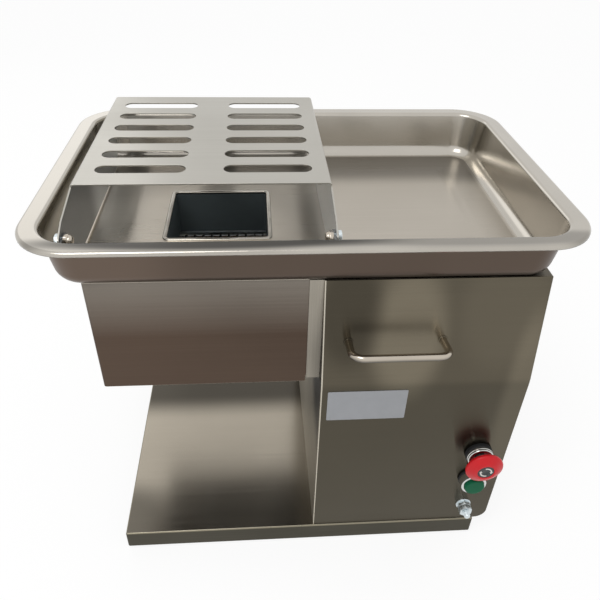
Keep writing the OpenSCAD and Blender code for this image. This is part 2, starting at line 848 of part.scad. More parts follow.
// Cable gland in the rear cover
module cable_gland() {
    color(black) at_gland() difference() {
        union() {
            translate([0, 0, sheet]) cylinder(r = gland_r + gland_lip, h = gland_hex_t, $fn = 6);
            translate([0, 0, -gland_inside]) cylinder(r = gland_r, h = gland_inside + sheet + gland_out);
        }
        cylinder(r = gland_bore_r, h = far, center = true);
    }
}

// Nut inside the rear cover on the gland
module gland_nut() {
    color(black) at_gland() translate([0, 0, -gland_nut_t])
        hex_nut(gland_r + gland_lip, gland_r + fit, gland_nut_t);
}

// Black sealing rings of both buttons
module button_gaskets() {
    color(black) {
        on_front(control_x, estop_z) ring(gasket_r, barrel_r + fit, estop_gasket_t);
        on_front(control_x, start_z) ring(gasket_r, barrel_r + fit, start_gasket_t);
    }
}

// Nuts behind the panel on both buttons' barrels
module button_nuts() {
    color(dark_steel) for (z = [estop_z, start_z]) on_front(control_x, z)
        translate([0, 0, -sheet - barrel_nut_t])
            hex_nut(barrel_r + barrel_nut_lip, barrel_r + fit, barrel_nut_t);
}

// Switch blocks behind both buttons
module contact_blocks() {
    color([0.8, 0.8, 0.76]) for (z = [estop_z, start_z]) on_front(control_x, z)
        translate([0, 0, -barrel_l - contact_l]) difference() {
            translate([-contact_w / 2, -contact_w / 2, 0]) cube([contact_w, contact_w, contact_l]);
            translate([0, 0, contact_l - contact_hole]) cylinder(r = stem_r + fit, h = contact_hole + cut);
        }
}

// Chrome collar and barrel of the emergency stop
module estop_collar() {
    color(bright) on_front(control_x, estop_z) difference() {
        union() {
            translate([0, 0, -barrel_l]) cylinder(r = barrel_r, h = barrel_l + estop_gasket_t + eps);
            translate([0, 0, estop_gasket_t]) cylinder(r = collar_r, h = collar_t);
        }
        cylinder(r = stem_r + fit, h = far, center = true);
    }
}

// Sliding stem of the emergency stop
module estop_stem() {
    color(dark_steel) on_front(control_x, estop_z) translate([0, 0, -stem_end])
        cylinder(r = stem_r, h = stem_end + head_back + head_l / 2);
}

// Red mushroom head, turning on the stem
module estop_head() {
    r = mushroom_r;
    color([0.85, 0.15, 0.18]) on_front(control_x, estop_z) translate([0, 0, head_back]) difference() {
        rotate_extrude() polygon(concat(
            [[0, 0], [r - head_taper, 0]],
            arc([r - head_edge, head_mid], head_edge, -40, 60),
            [[r - head_dome, head_l], [0, head_l]]));
        translate([0, 0, -cut]) cylinder(r = stem_r + fit, h = head_l / 2 + cut + gap);
        translate([0, 0, head_l - recess_d]) cylinder(r = recess_r, h = recess_d + cut);
    }
}

// Chrome bezel and barrel of the start button
module start_bezel() {
    color(bright) on_front(control_x, start_z) difference() {
        union() {
            translate([0, 0, -barrel_l]) cylinder(r = barrel_r, h = barrel_l + start_gasket_t + eps);
            translate([0, 0, start_gasket_t]) cylinder(r = collar_r, h = bezel_t);
        }
        translate([0, 0, pocket_z]) cylinder(r = cap_r + fit, h = bezel_t);
        cylinder(r = stem_r + fit, h = far, center = true);
    }
}

// Green cap of the start button with its stem
module start_button() {
    color([0, 0.42, 0.28]) on_front(control_x, start_z) {
        translate([0, 0, cap_z]) cylinder(r = cap_r, h = start_gasket_t + bezel_t + cap_proud - cap_z);
        translate([0, 0, -stem_end]) cylinder(r = stem_r, h = stem_end + cap_z + eps);
    }
}

// Places children at the gear plate's stand-offs
module at_standoffs() {
    for (s = [-1, 1], z = [standoff_high, -standoff_low])
        translate([0, feed_c + s * stud_y, shaft_z + z]) children();
}

// Plate that carries the inner bearings and the gearbox
module gear_plate() {
    half = stud_y + gear_plate_lip;
    low = pan_z + sheet;
    color(dark_steel) difference() {
        translate([gear_plate_x, feed_c - half, low])
            cube([gear_plate_t, 2 * half, shaft_z + gear_plate_up - low]);
        for (y = [front_y, rear_y]) rod_x(gear_plate_x - cut, gear_plate_t + 2 * cut, bearing_r, y, shaft_z);
        rod_x(gear_plate_x - cut, gear_plate_t + 2 * cut, pinion_shaft_r + pinion_clear, rear_y, pinion_z);
    }
}

// Bars between the housing's left wall and the gear plate
module plate_standoffs() {
    x = box_l + sheet;
    color(zinc) at_standoffs() rod_x(x, gear_plate_x - x, standoff_r, 0, 0);
}

// Flanged bearing housings on the outside of the left wall
module bearing_flanges() {
    color(dark_steel) for (y = [front_y, rear_y]) difference() {
        rod_x(box_l - flange_t, flange_t, flange_r, y, shaft_z);
        rod_x(box_l - flange_t + seal_t, flange_t, bearing_r, y, shaft_z);
        rod_x(box_l - flange_t - cut, flange_t, seal_r, y, shaft_z);
    }
}

// Four ball bearings, two on each shaft
module shaft_bearings() {
    outer_l = flange_t - seal_t;
    color(bright) for (y = [front_y, rear_y], p = [[box_l - outer_l, outer_l], [gear_plate_x, gear_plate_t]])
        difference() {
            rod_x(p[0], p[1], bearing_r, y, shaft_z);
            rod_x(p[0] - cut, p[1] + 2 * cut, shaft_r + fit, y, shaft_z);
        }
}

// Lip seals in the bearing flanges
module shaft_seals() {
    color(black) for (y = [front_y, rear_y]) difference() {
        rod_x(box_l - flange_t, seal_t, seal_r, y, shaft_z);
        rod_x(box_l - flange_t - cut, seal_t + 2 * cut, shaft_r + fit, y, shaft_z);
    }
}

// Motor behind the gearbox
module motor() {
    color([0.25, 0.3, 0.36]) rod_x(motor_x, motor_l, motor_r, rear_y, pinion_z);
}

// Square gearbox on the gear plate
module gearbox() {
    color(dark_steel) difference() {
        translate([gearbox_x, rear_y - gearbox_w / 2, pinion_z - gearbox_w / 2])
            cube([gearbox_l, gearbox_w, gearbox_w]);
        rod_x(gearbox_x - cut, pinion_seat + 2 * cut, pinion_shaft_r + fit, rear_y, pinion_z);
    }
}

// Run capacitor standing on the housing's floor
module run_capacitor() {
    color([0.85, 0.85, 0.82]) translate([box_r - capacitor_in, rear_y, pan_z + sheet])
        cylinder(r = capacitor_r, h = capacitor_h);
}

// Contactor standing on the housing's floor
module contactor() {
    color([0.2, 0.2, 0.22]) translate([gearbox_x + contactor_x, front_y - contactor_y, pan_z + sheet])
        cube([contactor_w, contactor_d, contactor_h]);
}

// One side plate of the blade cassette at x
module cassette_plate(x) {
    difference() {
        translate([x, feed_c - cass_half, shaft_z - cass_high])
            cube([cassette_t, 2 * cass_half, 2 * cass_high]);
        for (y = [front_y, rear_y]) rod_x(x - cut, cassette_t + 2 * cut, bush_r, y, shaft_z);
        for (s = [-1, 1])
            rod_x(x - cut, cassette_t + 2 * cut, stud_r + fit, feed_c + s * stud_y, shaft_z + stud_up);
    }
}

// Left side plate of the cassette
module cassette_left_plate() {
    color(steel) cassette_plate(cass_l);
}

// Right side plate of the cassette
module cassette_right_plate() {
    color(steel) cassette_plate(cass_r);
}

// Shouldered studs from the housing wall through both plates
module cassette_studs() {
    x = knob_x + knob_end;
    shoulder_x = cass_r + cassette_t;
    color(zinc) for (s = [-1, 1]) translate([0, feed_c + s * stud_y, shaft_z + stud_up]) {
        rod_x(x, box_l - x, stud_r, 0, 0);
        rod_x(shoulder_x, box_l - shoulder_x, stud_r + shoulder_lip, 0, 0);
    }
}

// Knobs that clamp the cassette on its studs
module cassette_knobs() {
    color(black) for (s = [-1, 1]) difference() {
        rod_x(knob_x, knob_t, knob_r, feed_c + s * stud_y, shaft_z + stud_up);
        rod_x(knob_x + knob_end, knob_t, stud_r + fit, feed_c + s * stud_y, shaft_z + stud_up);
    }
}

// Plain bushes of the shafts in both plates
module cassette_bushes() {
    color([0.72, 0.55, 0.25]) for (x = [cass_l, cass_r], y = [front_y, rear_y]) difference() {
        rod_x(x, cassette_t, bush_r, y, shaft_z);
        rod_x(x - cut, cassette_t + 2 * cut, shaft_r + fit, y, shaft_z);
    }
}

// Comb that strips slices off one blade stack; s is -1 in front and 1 behind, p the stack's shift
module comb(s, p) {
    tip = shaft_gap / 2 + comb_tip;
    bar = blade_reach + comb_clear;
    x = cass_l + cassette_t;
    z = shaft_z - spacer_r - comb_gap - comb_h;
    translate([x, feed_c + (s < 0 ? -bar - comb_bar : bar), z - comb_bar])
        cube([cass_r - x, comb_bar, comb_bar + comb_h]);
    first = feed_l + blade_off + p + (blade_t + pitch - comb_w) / 2;
    for (i = [0 : blade_count - 2])
        translate([first + pitch * i, feed_c + (s < 0 ? -bar - eps : tip), z])
            cube([comb_w, bar + eps - tip, comb_h]);
}

// Comb of the front blades
module front_comb() {
    color(steel) comb(-1, 0);
}

// Comb of the rear blades
module rear_comb() {
    color(steel) comb(1, rear_shift);
}

// Blades of one shaft at y, shifted by p
module blade_stack(y, p) {
    for (i = [0 : blade_count - 1]) difference() {
        rod_x(feed_l + blade_off + p + pitch * i, blade_t, blade_r, y, shaft_z);
        rod_x(feed_l + blade_off + p + pitch * i - cut, blade_t + 2 * cut, shaft_r, y, shaft_z);
    }
}

// Spacers of one shaft at y, shifted by p
module spacer_stack(y, p) {
    first = cass_l + cassette_t + end_gap;
    last = cass_r - end_gap;
    for (i = [0 : blade_count]) {
        x0 = i == 0 ? first : feed_l + blade_off + p + pitch * (i - 1) + blade_t;
        x1 = i == blade_count ? last : feed_l + blade_off + p + pitch * i;
        difference() {
            rod_x(x0, x1 - x0, spacer_r, y, shaft_z);
            rod_x(x0 - cut, x1 - x0 + 2 * cut, shaft_r, y, shaft_z);
        }
    }
}

// One blade shaft from the cassette's left plate to the gear plate
module blade_shaft(y) {
    x = nut_x - shaft_end;
    rod_x(x, gear_plate_x + gear_plate_t - x, shaft_r, y, shaft_z);
}

// Nut on the free end of a blade shaft
module blade_nut(y) {
    difference() {
        along_x(nut_x, shaft_nut_t) translate([y, shaft_z]) circle(shaft_r + shaft_nut_lip, $fn = 6);
        rod_x(nut_x - cut, shaft_nut_t + 2 * cut, shaft_r, y, shaft_z);
    }
}

// Gear on a blade shaft, turned by a degrees
module shaft_gear(y, a) {
    difference() {
        along_x(gear_x, gear_face) translate([y, shaft_z]) rotate(a) polygon(gear_pts(gear_teeth, gear_m));
        rod_x(gear_x - cut, gear_face + 2 * cut, shaft_r, y, shaft_z);
    }
}

// Front blade shaft
module front_shaft() {
    color(bright) blade_shaft(front_y);
}

// Round blades on the front shaft
module front_blades() {
    color(bright) blade_stack(front_y, 0);
}

// Spacers between the front blades
module front_spacers() {
    color(steel) spacer_stack(front_y, 0);
}

// Gear on the front shaft
module front_gear() {
    color(dark_steel) shaft_gear(front_y, 0);
}

// Nut on the front shaft
module front_shaft_nut() {
    color(zinc) blade_nut(front_y);
}

// Rear blade shaft
module rear_shaft() {
    color(bright) blade_shaft(rear_y);
}

// Round blades on the rear shaft
module rear_blades() {
    color(bright) blade_stack(rear_y, rear_shift);
}

// Spacers between the rear blades
module rear_spacers() {
    color(steel) spacer_stack(rear_y, rear_shift);
}

// Gear on the rear shaft, a gap facing the front gear's tooth
module rear_gear() {
    color(dark_steel) shaft_gear(rear_y, rear_turn);
}

// Nut on the rear shaft
module rear_shaft_nut() {
    color(zinc) blade_nut(rear_y);
}

// Pinion on the gearbox shaft, in mesh with the rear gear from below
module drive_pinion() {
    past = (270 - rear_turn) * gear_teeth / 360;
    turn = 90 + (past - floor(past)) * 360 / pinion_teeth + 180 / pinion_teeth;
    color(dark_steel) {
        along_x(gear_x, gear_face) translate([rear_y, pinion_z]) rotate(turn)
            polygon(gear_pts(pinion_teeth, gear_m));
        rod_x(gear_x, gearbox_x + pinion_seat - gear_x, pinion_shaft_r, rear_y, pinion_z);
    }
}

// One guide channel along the housing's left wall for a hood wall between y0 and y1
module guide(y0, y1) {
    low = hood_low + guide_up - sheet - gap;
    difference() {
        translate([hood_r - guide_w, y0 - sheet - gap, low])
            cube([box_l - hood_r + guide_w, y1 - y0 + 2 * (sheet + gap), hood_top - low]);
        translate([hood_r - guide_w - cut, y0 - gap, low + sheet])
            cube([guide_w + cut + gap, y1 - y0 + 2 * gap, hood_top - low]);
    }
}

// Guide channels for the hood's front and back walls
module hood_guides() {
    color([0.7, 0.69, 0.66]) {
        guide(hood_f, hood_f + sheet);
        guide(hood_b - sheet, hood_b);
    }
}

// Hood round the blade cassette, open below and towards the housing
module hood() {
    color(steel) difference() {
        translate([hood_l, hood_f, hood_low]) cube([hood_r - hood_l, hood_b - hood_f, hood_h]);
        translate([hood_l + sheet, hood_f + sheet, hood_low - cut])
            cube([hood_r - hood_l, hood_b - hood_f - 2 * sheet, hood_h + 2 * cut]);
        translate([hood_r - guide_w - gap, hood_f - cut, hood_low - cut])
            cube([guide_w + cut, hood_b - hood_f + 2 * cut, guide_up + cut]);
    }
}

// Section of the tray's rim, wall and fillet: x inwards from the rim's edge, y up from the rim
module tray_section() {
    top = concat(
        arc([roll_r, -roll_r], roll_r, 180, 90),
        arc(lip_c, lip_r, 90, wall_slope),
        arc(fillet_c, floor_fillet, 180 + wall_slope, 270),
        [[floor_in + eps, tray_t - tray_h]]);
    under = concat(
        [[floor_in + eps, -tray_h]],
        arc(fillet_c, floor_fillet + tray_t, 270, 180 + wall_slope),
        arc(lip_c, lip_r - tray_t, wall_slope, 90),
        arc([roll_r, -roll_r], roll_r - tray_t, 90, 180));
    polygon(concat([[tray_t, -rim_drop], [0, -rim_drop]], top, under));
}

// Straight stretch of the tray's wall, l long, starting at a corner and turned by a
module tray_side(p, a, l) {
    translate([p[0], p[1], rim_z]) rotate([0, 0, a]) rotate([90, 0, 90]) linear_extrude(l) tray_section();
}

// Round corner of the tray's wall about p, turned by a
module tray_corner(p, a) {
    translate([p[0], p[1], rim_z]) rotate([0, 0, a]) rotate_extrude(angle = 90)
        translate([corner_r, 0]) mirror([1, 0]) tray_section();
}

// Loading tray with a rolled rim, a gutter and a raised floor
module tray() {
    c = corner_r;
    g = raised_in;
    hole = throat_t + gap;
    color(steel) difference() {
        union() {
            tray_side([tray_l + c, tray_f], 0, tray_w - 2 * c);
            tray_side([tray_r, tray_f + c], 90, tray_d - 2 * c);
            tray_side([tray_r - c, tray_b], 180, tray_w - 2 * c);
            tray_side([tray_l, tray_b - c], 270, tray_d - 2 * c);
            tray_corner([tray_l + c, tray_f + c], 180);
            tray_corner([tray_r - c, tray_f + c], 270);
            tray_corner([tray_r - c, tray_b - c], 0);
            tray_corner([tray_l + c, tray_b - c], 90);
            translate([tray_l + floor_in, tray_f + c, top_z])
                cube([tray_w - 2 * floor_in, tray_d - 2 * c, tray_t]);
            translate([tray_l + c, tray_f + floor_in, top_z])
                cube([tray_w - 2 * c, tray_d - 2 * floor_in, tray_t]);
            for (x = [tray_l + c, tray_r - c], y = [tray_f + c, tray_b - c]) translate([x, y, top_z])
                cylinder(r = floor_corner_r, h = tray_t);
            translate([tray_l + g, tray_f + g, top_z])
                cube([tray_w - 2 * g, tray_d - 2 * g, floor_step + tray_t]);
        }
        translate([tray_l + g + tray_t, tray_f + g + tray_t, top_z - cut])
            cube([tray_w - 2 * (g + tray_t), tray_d - 2 * (g + tray_t), floor_step + cut]);
        translate([feed_l - hole, feed_c - feed_d / 2 - hole, top_z - cut])
            cube([feed_w + 2 * hole, feed_d + 2 * hole, floor_step + tray_t + 2 * cut]);
    }
}

// Folded throat lining the feed opening
module feed_throat() {
    module frame(d, z, h) {
        translate([feed_l - d, feed_c - feed_d / 2 - d, z]) cube([feed_w + 2 * d, feed_d + 2 * d, h]);
    }
    color(bright) difference() {
        union() {
            frame(throat_t, throat_z, floor_z - throat_z + eps);
            frame(throat_t + throat_lip, floor_z, throat_t);
        }
        frame(0, throat_z - cut, floor_z - throat_z + throat_t + 2 * cut);
    }
}

// Distance of the wall's inner face from the rim's edge at a depth below the rim
function wall_in(d) = wall_top[0] + (d + wall_top[1]) * tan(wall_slope);
// The same for the front wall at a place in X, which its left corner draws in
function front_in(d, x) =
    let (r = corner_r - wall_in(d), s = max(0, tray_l + corner_r - x))
    corner_r - sqrt(r * r - s * s);

// Hinge brackets on the inside of the tray's front wall
module guard_brackets() {
    low = hinge_down + bracket_h;
    high = hinge_down - bracket_up;
    color(dark_steel) for (x = [guard_l + guard_t + gap, guard_r - guard_t - gap - bracket_t]) difference() {
        along_x(x, bracket_t) polygon([
            [tray_f + front_in(high, x) + gap, rim_z - high],
            [tray_f + front_in(low, x) + gap, rim_z - low],
            [hinge_y + ear_r, rim_z - low],
            [hinge_y + ear_r, rim_z - high]
        ]);
        rod_x(x - cut, bracket_t + 2 * cut, hinge_r + fit, hinge_y, hinge_z);
    }
}

// Outline of the guard's side flange in Y and Z
module flange_outline() {
    low = floor_z + gap;
    over_rim = rim_z + guard_over;
    difference() {
        union() {
            polygon([
                [hinge_y + ear_r, guard_z - guard_nose], [plate_f, guard_z], [plate_b, guard_z],
                [plate_b, over_rim], [tray_b - rim_w - guard_step, over_rim], [tray_b - raised_in, low],
                [hinge_y + ear_r + ear_run, low], [hinge_y, hinge_z - ear_r],
                arc_pt([hinge_y, hinge_z], ear_r, ear_top)
            ]);
            translate([hinge_y, hinge_z]) circle(ear_r);
        }
        translate([hinge_y, hinge_z]) circle(hinge_r + fit);
    }
}

// Slotted hand guard folded from one sheet, hinged at its front
module guard() {
    mid = (guard_l + guard_r) / 2;
    color([0.74, 0.73, 0.7]) {
        difference() {
            translate([guard_l, plate_f, guard_z - guard_t]) cube([guard_w, guard_d, guard_t]);
            for (s = [-1, 1], i = [0 : slot_rows - 1])
                translate([mid + s * slot_off, plate_f + slot_first + i * slot_pitch, guard_z - 2 * guard_t])
                    linear_extrude(3 * guard_t) slot_2d(slot_len, slot_w);
        }
        for (x = [guard_l, guard_r - guard_t]) along_x(x, guard_t) flange_outline();
    }
}

// Hinge bolts through the guard's flanges and the brackets
module guard_bolts() {
    shank = guard_t + 2 * gap + bracket_t + nut_t - 2 * nut_end;
    color(zinc) for (s = [-1, 1]) {
        head_x = s < 0 ? guard_l - gap - bolt_head_t : guard_r + gap;
        shank_x = s < 0 ? guard_l - gap - eps : guard_r + gap + eps - shank;
        along_x(head_x, bolt_head_t) translate([hinge_y, hinge_z]) circle(hinge_head_r, $fn = 6);
        rod_x(shank_x, shank, hinge_r, hinge_y, hinge_z);
    }
}

// Cap nuts on the inner ends of the hinge bolts
module guard_nuts() {
    color(bright) for (s = [-1, 1]) {
        x = s < 0 ? guard_l + guard_t + gap + bracket_t : guard_r - guard_t - gap - bracket_t - nut_t;
        difference() {
            union() {
                along_x(s < 0 ? x : x + nut_t / 2, nut_t / 2) translate([hinge_y, hinge_z])
                    circle(hinge_head_r, $fn = 6);
                rod_x(x, nut_t, hinge_r + nut_cap_lip, hinge_y, hinge_z);
            }
            rod_x(s < 0 ? x - nut_end : x + nut_end, nut_t, hinge_r + fit, hinge_y, hinge_z);
        }
    }
}

base_pan();
rubber_feet();
housing_wrap();
front_panel();
top_plate();
rear_cover();
rear_cover_screws();
housing_bolts();
carry_handle();
handle_washers();
handle_nuts();
rating_plate();
earth_stud();
earth_washer();
earth_nuts();
cable_gland();
gland_nut();
button_gaskets();
button_nuts();
contact_blocks();
estop_collar();
estop_stem();
estop_head();
start_bezel();
start_button();
gear_plate();
plate_standoffs();
bearing_flanges();
shaft_bearings();
shaft_seals();
motor();
gearbox();
run_capacitor();
contactor();
cassette_left_plate();
cassette_right_plate();
cassette_studs();
cassette_knobs();
cassette_bushes();
front_comb();
rear_comb();
hood_guides();
hood();
front_shaft();
front_blades();
front_spacers();
front_gear();
front_shaft_nut();
rear_shaft();
rear_blades();
rear_spacers();
rear_gear();
rear_shaft_nut();
drive_pinion();
tray();
feed_throat();
guard_brackets();
guard();
guard_bolts();
guard_nuts();
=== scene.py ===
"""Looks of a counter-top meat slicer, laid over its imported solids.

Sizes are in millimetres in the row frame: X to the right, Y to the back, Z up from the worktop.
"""

import logging
import math
from dataclasses import dataclass
from enum import Enum
from typing import Iterable, Optional, Sequence

import bmesh
import bpy
from bmesh.types import BMEdge, BMesh, BMFace, BMVert
from mathutils import Matrix, Vector


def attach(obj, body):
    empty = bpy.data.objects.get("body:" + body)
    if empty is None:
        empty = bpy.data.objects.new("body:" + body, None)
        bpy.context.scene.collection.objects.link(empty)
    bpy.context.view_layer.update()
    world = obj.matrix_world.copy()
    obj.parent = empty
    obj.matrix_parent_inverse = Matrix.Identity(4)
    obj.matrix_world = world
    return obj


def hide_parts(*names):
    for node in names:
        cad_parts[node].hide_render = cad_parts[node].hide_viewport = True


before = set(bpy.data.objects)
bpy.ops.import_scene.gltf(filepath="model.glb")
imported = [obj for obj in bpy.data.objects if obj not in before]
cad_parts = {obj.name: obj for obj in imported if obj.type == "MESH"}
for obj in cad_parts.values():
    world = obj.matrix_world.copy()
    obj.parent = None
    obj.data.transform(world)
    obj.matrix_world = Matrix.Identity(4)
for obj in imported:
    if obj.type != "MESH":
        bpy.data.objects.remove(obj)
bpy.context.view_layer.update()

LOG = logging.getLogger("slicer")
MM = 0.001
QUARTER = math.pi / 2
UP = (0.0, 0.0, 1.0)
# Distances in mm: within which a point counts as being at a place, below which points become one, and within
# which a cut runs through a point instead of beside it.
NEAR = 0.01
MERGE = 0.001
SNAP = 0.0001
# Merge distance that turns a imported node's loose triangles into one skin, mm.
WELD = 0.002
# Edges that turn by more than the first angle are rounded, and by more than the second stay sharp in shading.
ROUNDED = math.radians(40)
SHARP = math.radians(38)
# Part of a unit normal along an axis from which a face counts as looking that way.
FACING = 0.9
# Sides of a round hole, and share of a nut's radius that its corners lose.
HOLE_SIDES = 24
NUT_CHAMFER = 0.16
# Depth of the finest scratches and pits in metal, mm.
PIT = 0.05
# Share of a patch's reach over which it keeps its full value.
PATCH_CORE = 0.4
# Numbers of a Mix node's two colour inputs and of its colour output.
COLOUR_A, COLOUR_B, COLOUR_OUT = 6, 7, 2
# Turns that stand a drawing up: as a front, looking forward, and as a side wall, looking right.
STAND = Matrix.Rotation(QUARTER, 4, "X")
SIDEWAYS = Matrix(((0, 0, 1, 0), (1, 0, 0, 0), (0, 1, 0, 0), (0, 0, 0, 1)))

Point = tuple[float, float]
Place = tuple[float, float, float]
Socket = bpy.types.NodeSocket
Tree = bpy.types.NodeTree


class Body(Enum):
    """Moving groups that a piece can ride on."""

    HOUSING = "housing"
    TRAY = "tray"
    GUARD = "guard"
    HOOD = "hood"
    KNOB = "estop_knob"
    START = "start"


class Grain(Enum):
    """Directions that a steel sheet is brushed in."""

    ACROSS = (1.0, 0.0, 0.0)
    DEEP = (0.0, 1.0, 0.0)
    UPRIGHT = (0.0, 0.0, 1.0)

    def stretch(self, run: float, line: float) -> Place:
        """Pattern scale per metre for lines `run` mm long and `line` mm apart."""
        x, y, z = (1 / MM / (run if part else line) for part in self.value)
        return x, y, z


def linear(shade: str) -> tuple[float, float, float, float]:
    """Turns an sRGB hex colour to linear RGBA.

    Args:
        shade: six hex digits after a hash.

    Returns:
        Red, green, blue and an alpha of 1.
    """
    parts = (int(shade[i:i + 2], 16) / 255 for i in (1, 3, 5))
    r, g, b = (c / 12.92 if c <= 0.04045 else ((c + 0.055) / 1.055) ** 2.4 for c in parts)
    return r, g, b, 1.0


def toned(shade: str, gain: float) -> tuple[float, float, float, float]:
    """A hex colour made lighter or darker by a factor, as linear RGBA."""
    r, g, b, a = linear(shade)
    return min(r * gain, 1.0), min(g * gain, 1.0), min(b * gain, 1.0), a


def put(tree: Tree, kind: str, sockets: Optional[dict] = None, **settings: object) -> bpy.types.Node:
    """Adds one node.

    Args:
        tree: node tree of a material or the world.
        kind: the node's type name.
        sockets: inputs by name or number; a socket is linked to, any other value is set.
        settings: the node's own properties.

    Returns:
        The new node.
    """
    node = tree.nodes.new(kind)
    for key, value in settings.items():
        setattr(node, key, value)
    for key, value in (sockets or {}).items():
        if isinstance(value, Socket):
            tree.links.new(value, node.inputs[key])
        else:
            node.inputs[key].default_value = value
    return node


@dataclass(frozen=True)
class Finish:
    """A surface finish; each kind lays its own nodes.

    Attributes:
        name: the real material and how its surface was made.
        shade: sRGB colour.
        rough: roughness of the surface.
    """

    name: str
    shade: str
    rough: float

    def material(self) -> bpy.types.Material:
        """Makes the material once and returns it."""
        made = bpy.data.materials.get(self.name)
        if made is None:
            made = bpy.data.materials.new(self.name)
            made.use_nodes = True
            made.node_tree.nodes.clear()
            self.lay(made.node_tree)
        return made

    def lay(self, tree: Tree) -> None:
        """Lays the nodes of this finish in a tree."""
        raise NotImplementedError


@dataclass(frozen=True)
class Patch:
    """A soft-edged patch of painted light or shade on a sheet, which may also be duller.

    Attributes:
        place: its middle, mm.
        reach: half its extent along each axis, mm.
        gain: factor on the sheet's colour in its middle.
        dull: roughness that its middle has more than the sheet.
    """

    place: Place
    reach: Place
    gain: float
    dull: float = 0.0

    def lay(self, tree: Tree, place: Socket, inside: float, outside: float) -> Socket:
        """Lays the patch's nodes.

        Args:
            tree: tree of the sheet's material.
            place: the point's coordinates.
            inside: value in the patch's middle.
            outside: value beyond its reach.

        Returns:
            The value at each point.
        """
        middle = [c * MM for c in self.place]
        size = [r * MM for r in self.reach]
        away = put(tree, "ShaderNodeVectorMath", {0: place, 1: middle}, operation="SUBTRACT")
        share = put(tree, "ShaderNodeVectorMath", {0: away.outputs[0], 1: size}, operation="DIVIDE")
        far = put(tree, "ShaderNodeVectorMath", {0: share.outputs[0]}, operation="LENGTH")
        fade = put(tree, "ShaderNodeMapRange", {
            "Value": far.outputs["Value"], "From Min": PATCH_CORE, "To Min": inside, "To Max": outside,
        }, interpolation_type="SMOOTHERSTEP")
        return fade.outputs[0]


def lay_painted_patches(tree: Tree, face: dict[str, Socket], place: Socket, patches: Iterable[Patch]) -> dict[str, Socket]:
    """Lays patches of painted light and shade over a sheet's colour, and their dullness over its roughness.

    Args:
        tree: tree of the sheet's material.
        face: the sheet's own base colour and roughness.
        place: the point's coordinates.
        patches: what to lay.

    Returns:
        The base colour and roughness with the patches.
    """
    colour, rough = face["Base Color"], face["Roughness"]
    for patch in patches:
        gain = patch.lay(tree, place, patch.gain, 1.0)
        colour = put(tree, "ShaderNodeVectorMath", {0: colour, "Scale": gain}, operation="SCALE").outputs[0]
        if patch.dull:
            dull = patch.lay(tree, place, patch.dull, 0.0)
            rough = put(tree, "ShaderNodeMath", {0: rough, 1: dull}, operation="ADD").outputs[0]
    return {"Base Color": colour, "Roughness": rough}


@dataclass(frozen=True)
class BrushedSteel(Finish):
    """Stainless sheet with a belt-brushed face.

    The belt leaves fine parallel scratches. Reflections smear across them, and the sheet shows faint
    lines along them with broad dull clouds.

    Attributes:
        grain: direction of the scratches.
        top: colour at the upper height, where the sheet's tone changes with height: a painted reflection,
            lighter above.
        heights: lower and upper height of that change, mm.
        line: spacing of the scratches, mm, drawn coarser than real ones so that they show.
        run: length of the scratches, mm.
        smear: how far reflections smear across the scratches, 0 to 1.
        streak: share by which a scratch changes the colour.
        spread: share by which a scratch changes the roughness.
        bite: strength of the scratches' relief.
        cloud: size of the dull clouds, mm.
        patches: patches of painted light and shade, lighter or darker than the rest and some duller.
    """

    grain: Grain = Grain.ACROSS
    top: str = ""
    heights: Point = (0.0, 1.0)
    line: float = 1.1
    run: float = 160.0
    smear: float = 1.0
    streak: float = 0.06
    spread: float = 0.15
    bite: float = 0.12
    cloud: float = 110.0
    patches: tuple[Patch, ...] = ()

    def lay(self, tree: Tree) -> None:
        """Lays scratches, clouds and the change of tone."""
        place = put(tree, "ShaderNodeTexCoord").outputs["Object"]
        stretch = self.grain.stretch(self.run, self.line)
        lines = put(tree, "ShaderNodeMapping", {"Vector": place, "Scale": stretch})
        scratch = put(tree, "ShaderNodeTexNoise", {"Vector": lines.outputs[0], "Scale": 1.0, "Detail": 3.0})
        cloud = put(tree, "ShaderNodeTexNoise", {
            "Vector": place, "Scale": 1 / (self.cloud * MM), "Detail": 2.0,
        })
        height = put(tree, "ShaderNodeSeparateXYZ", {0: place})
        low, high = (h * MM for h in self.heights)
        rise = put(tree, "ShaderNodeMapRange", {
            "Value": height.outputs["Z"], "From Min": low, "From Max": high,
        })
        upper = self.top or self.shade
        dark, light = (put(tree, "ShaderNodeMix", {
            0: rise.outputs[0], COLOUR_A: toned(self.shade, gain), COLOUR_B: toned(upper, gain),
        }, data_type="RGBA") for gain in (1 - self.streak, 1 + self.streak))
        blend = put(tree, "ShaderNodeMath", {0: scratch.outputs[0], 1: cloud.outputs[0]}, operation="ADD")
        share = put(tree, "ShaderNodeMapRange", {"Value": blend.outputs[0], "From Min": 0.7, "From Max": 1.3})
        colour = put(tree, "ShaderNodeMix", {
            0: share.outputs[0], COLOUR_A: dark.outputs[COLOUR_OUT], COLOUR_B: light.outputs[COLOUR_OUT],
        }, data_type="RGBA")
        dull = put(tree, "ShaderNodeMapRange", {
            "Value": share.outputs[0], "To Min": self.rough * (1 + self.spread),
            "To Max": self.rough * (1 - self.spread),
        })
        groove = put(tree, "ShaderNodeBump", {
            "Height": scratch.outputs[0], "Strength": self.bite, "Distance": PIT * MM,
        })
        along = put(tree, "ShaderNodeCombineXYZ", dict(zip("XYZ", self.grain.value)))
        face = {"Base Color": colour.outputs[COLOUR_OUT], "Roughness": dull.outputs[0]}
        steel = put(tree, "ShaderNodeBsdfPrincipled", {
            **lay_painted_patches(tree, face, place, self.patches), "Metallic": 1.0, "Anisotropic": self.smear,
            "Anisotropic Rotation": 0.25, "Tangent": along.outputs[0], "Normal": groove.outputs[0],
        })
        put(tree, "ShaderNodeOutputMaterial", {"Surface": steel.outputs[0]})


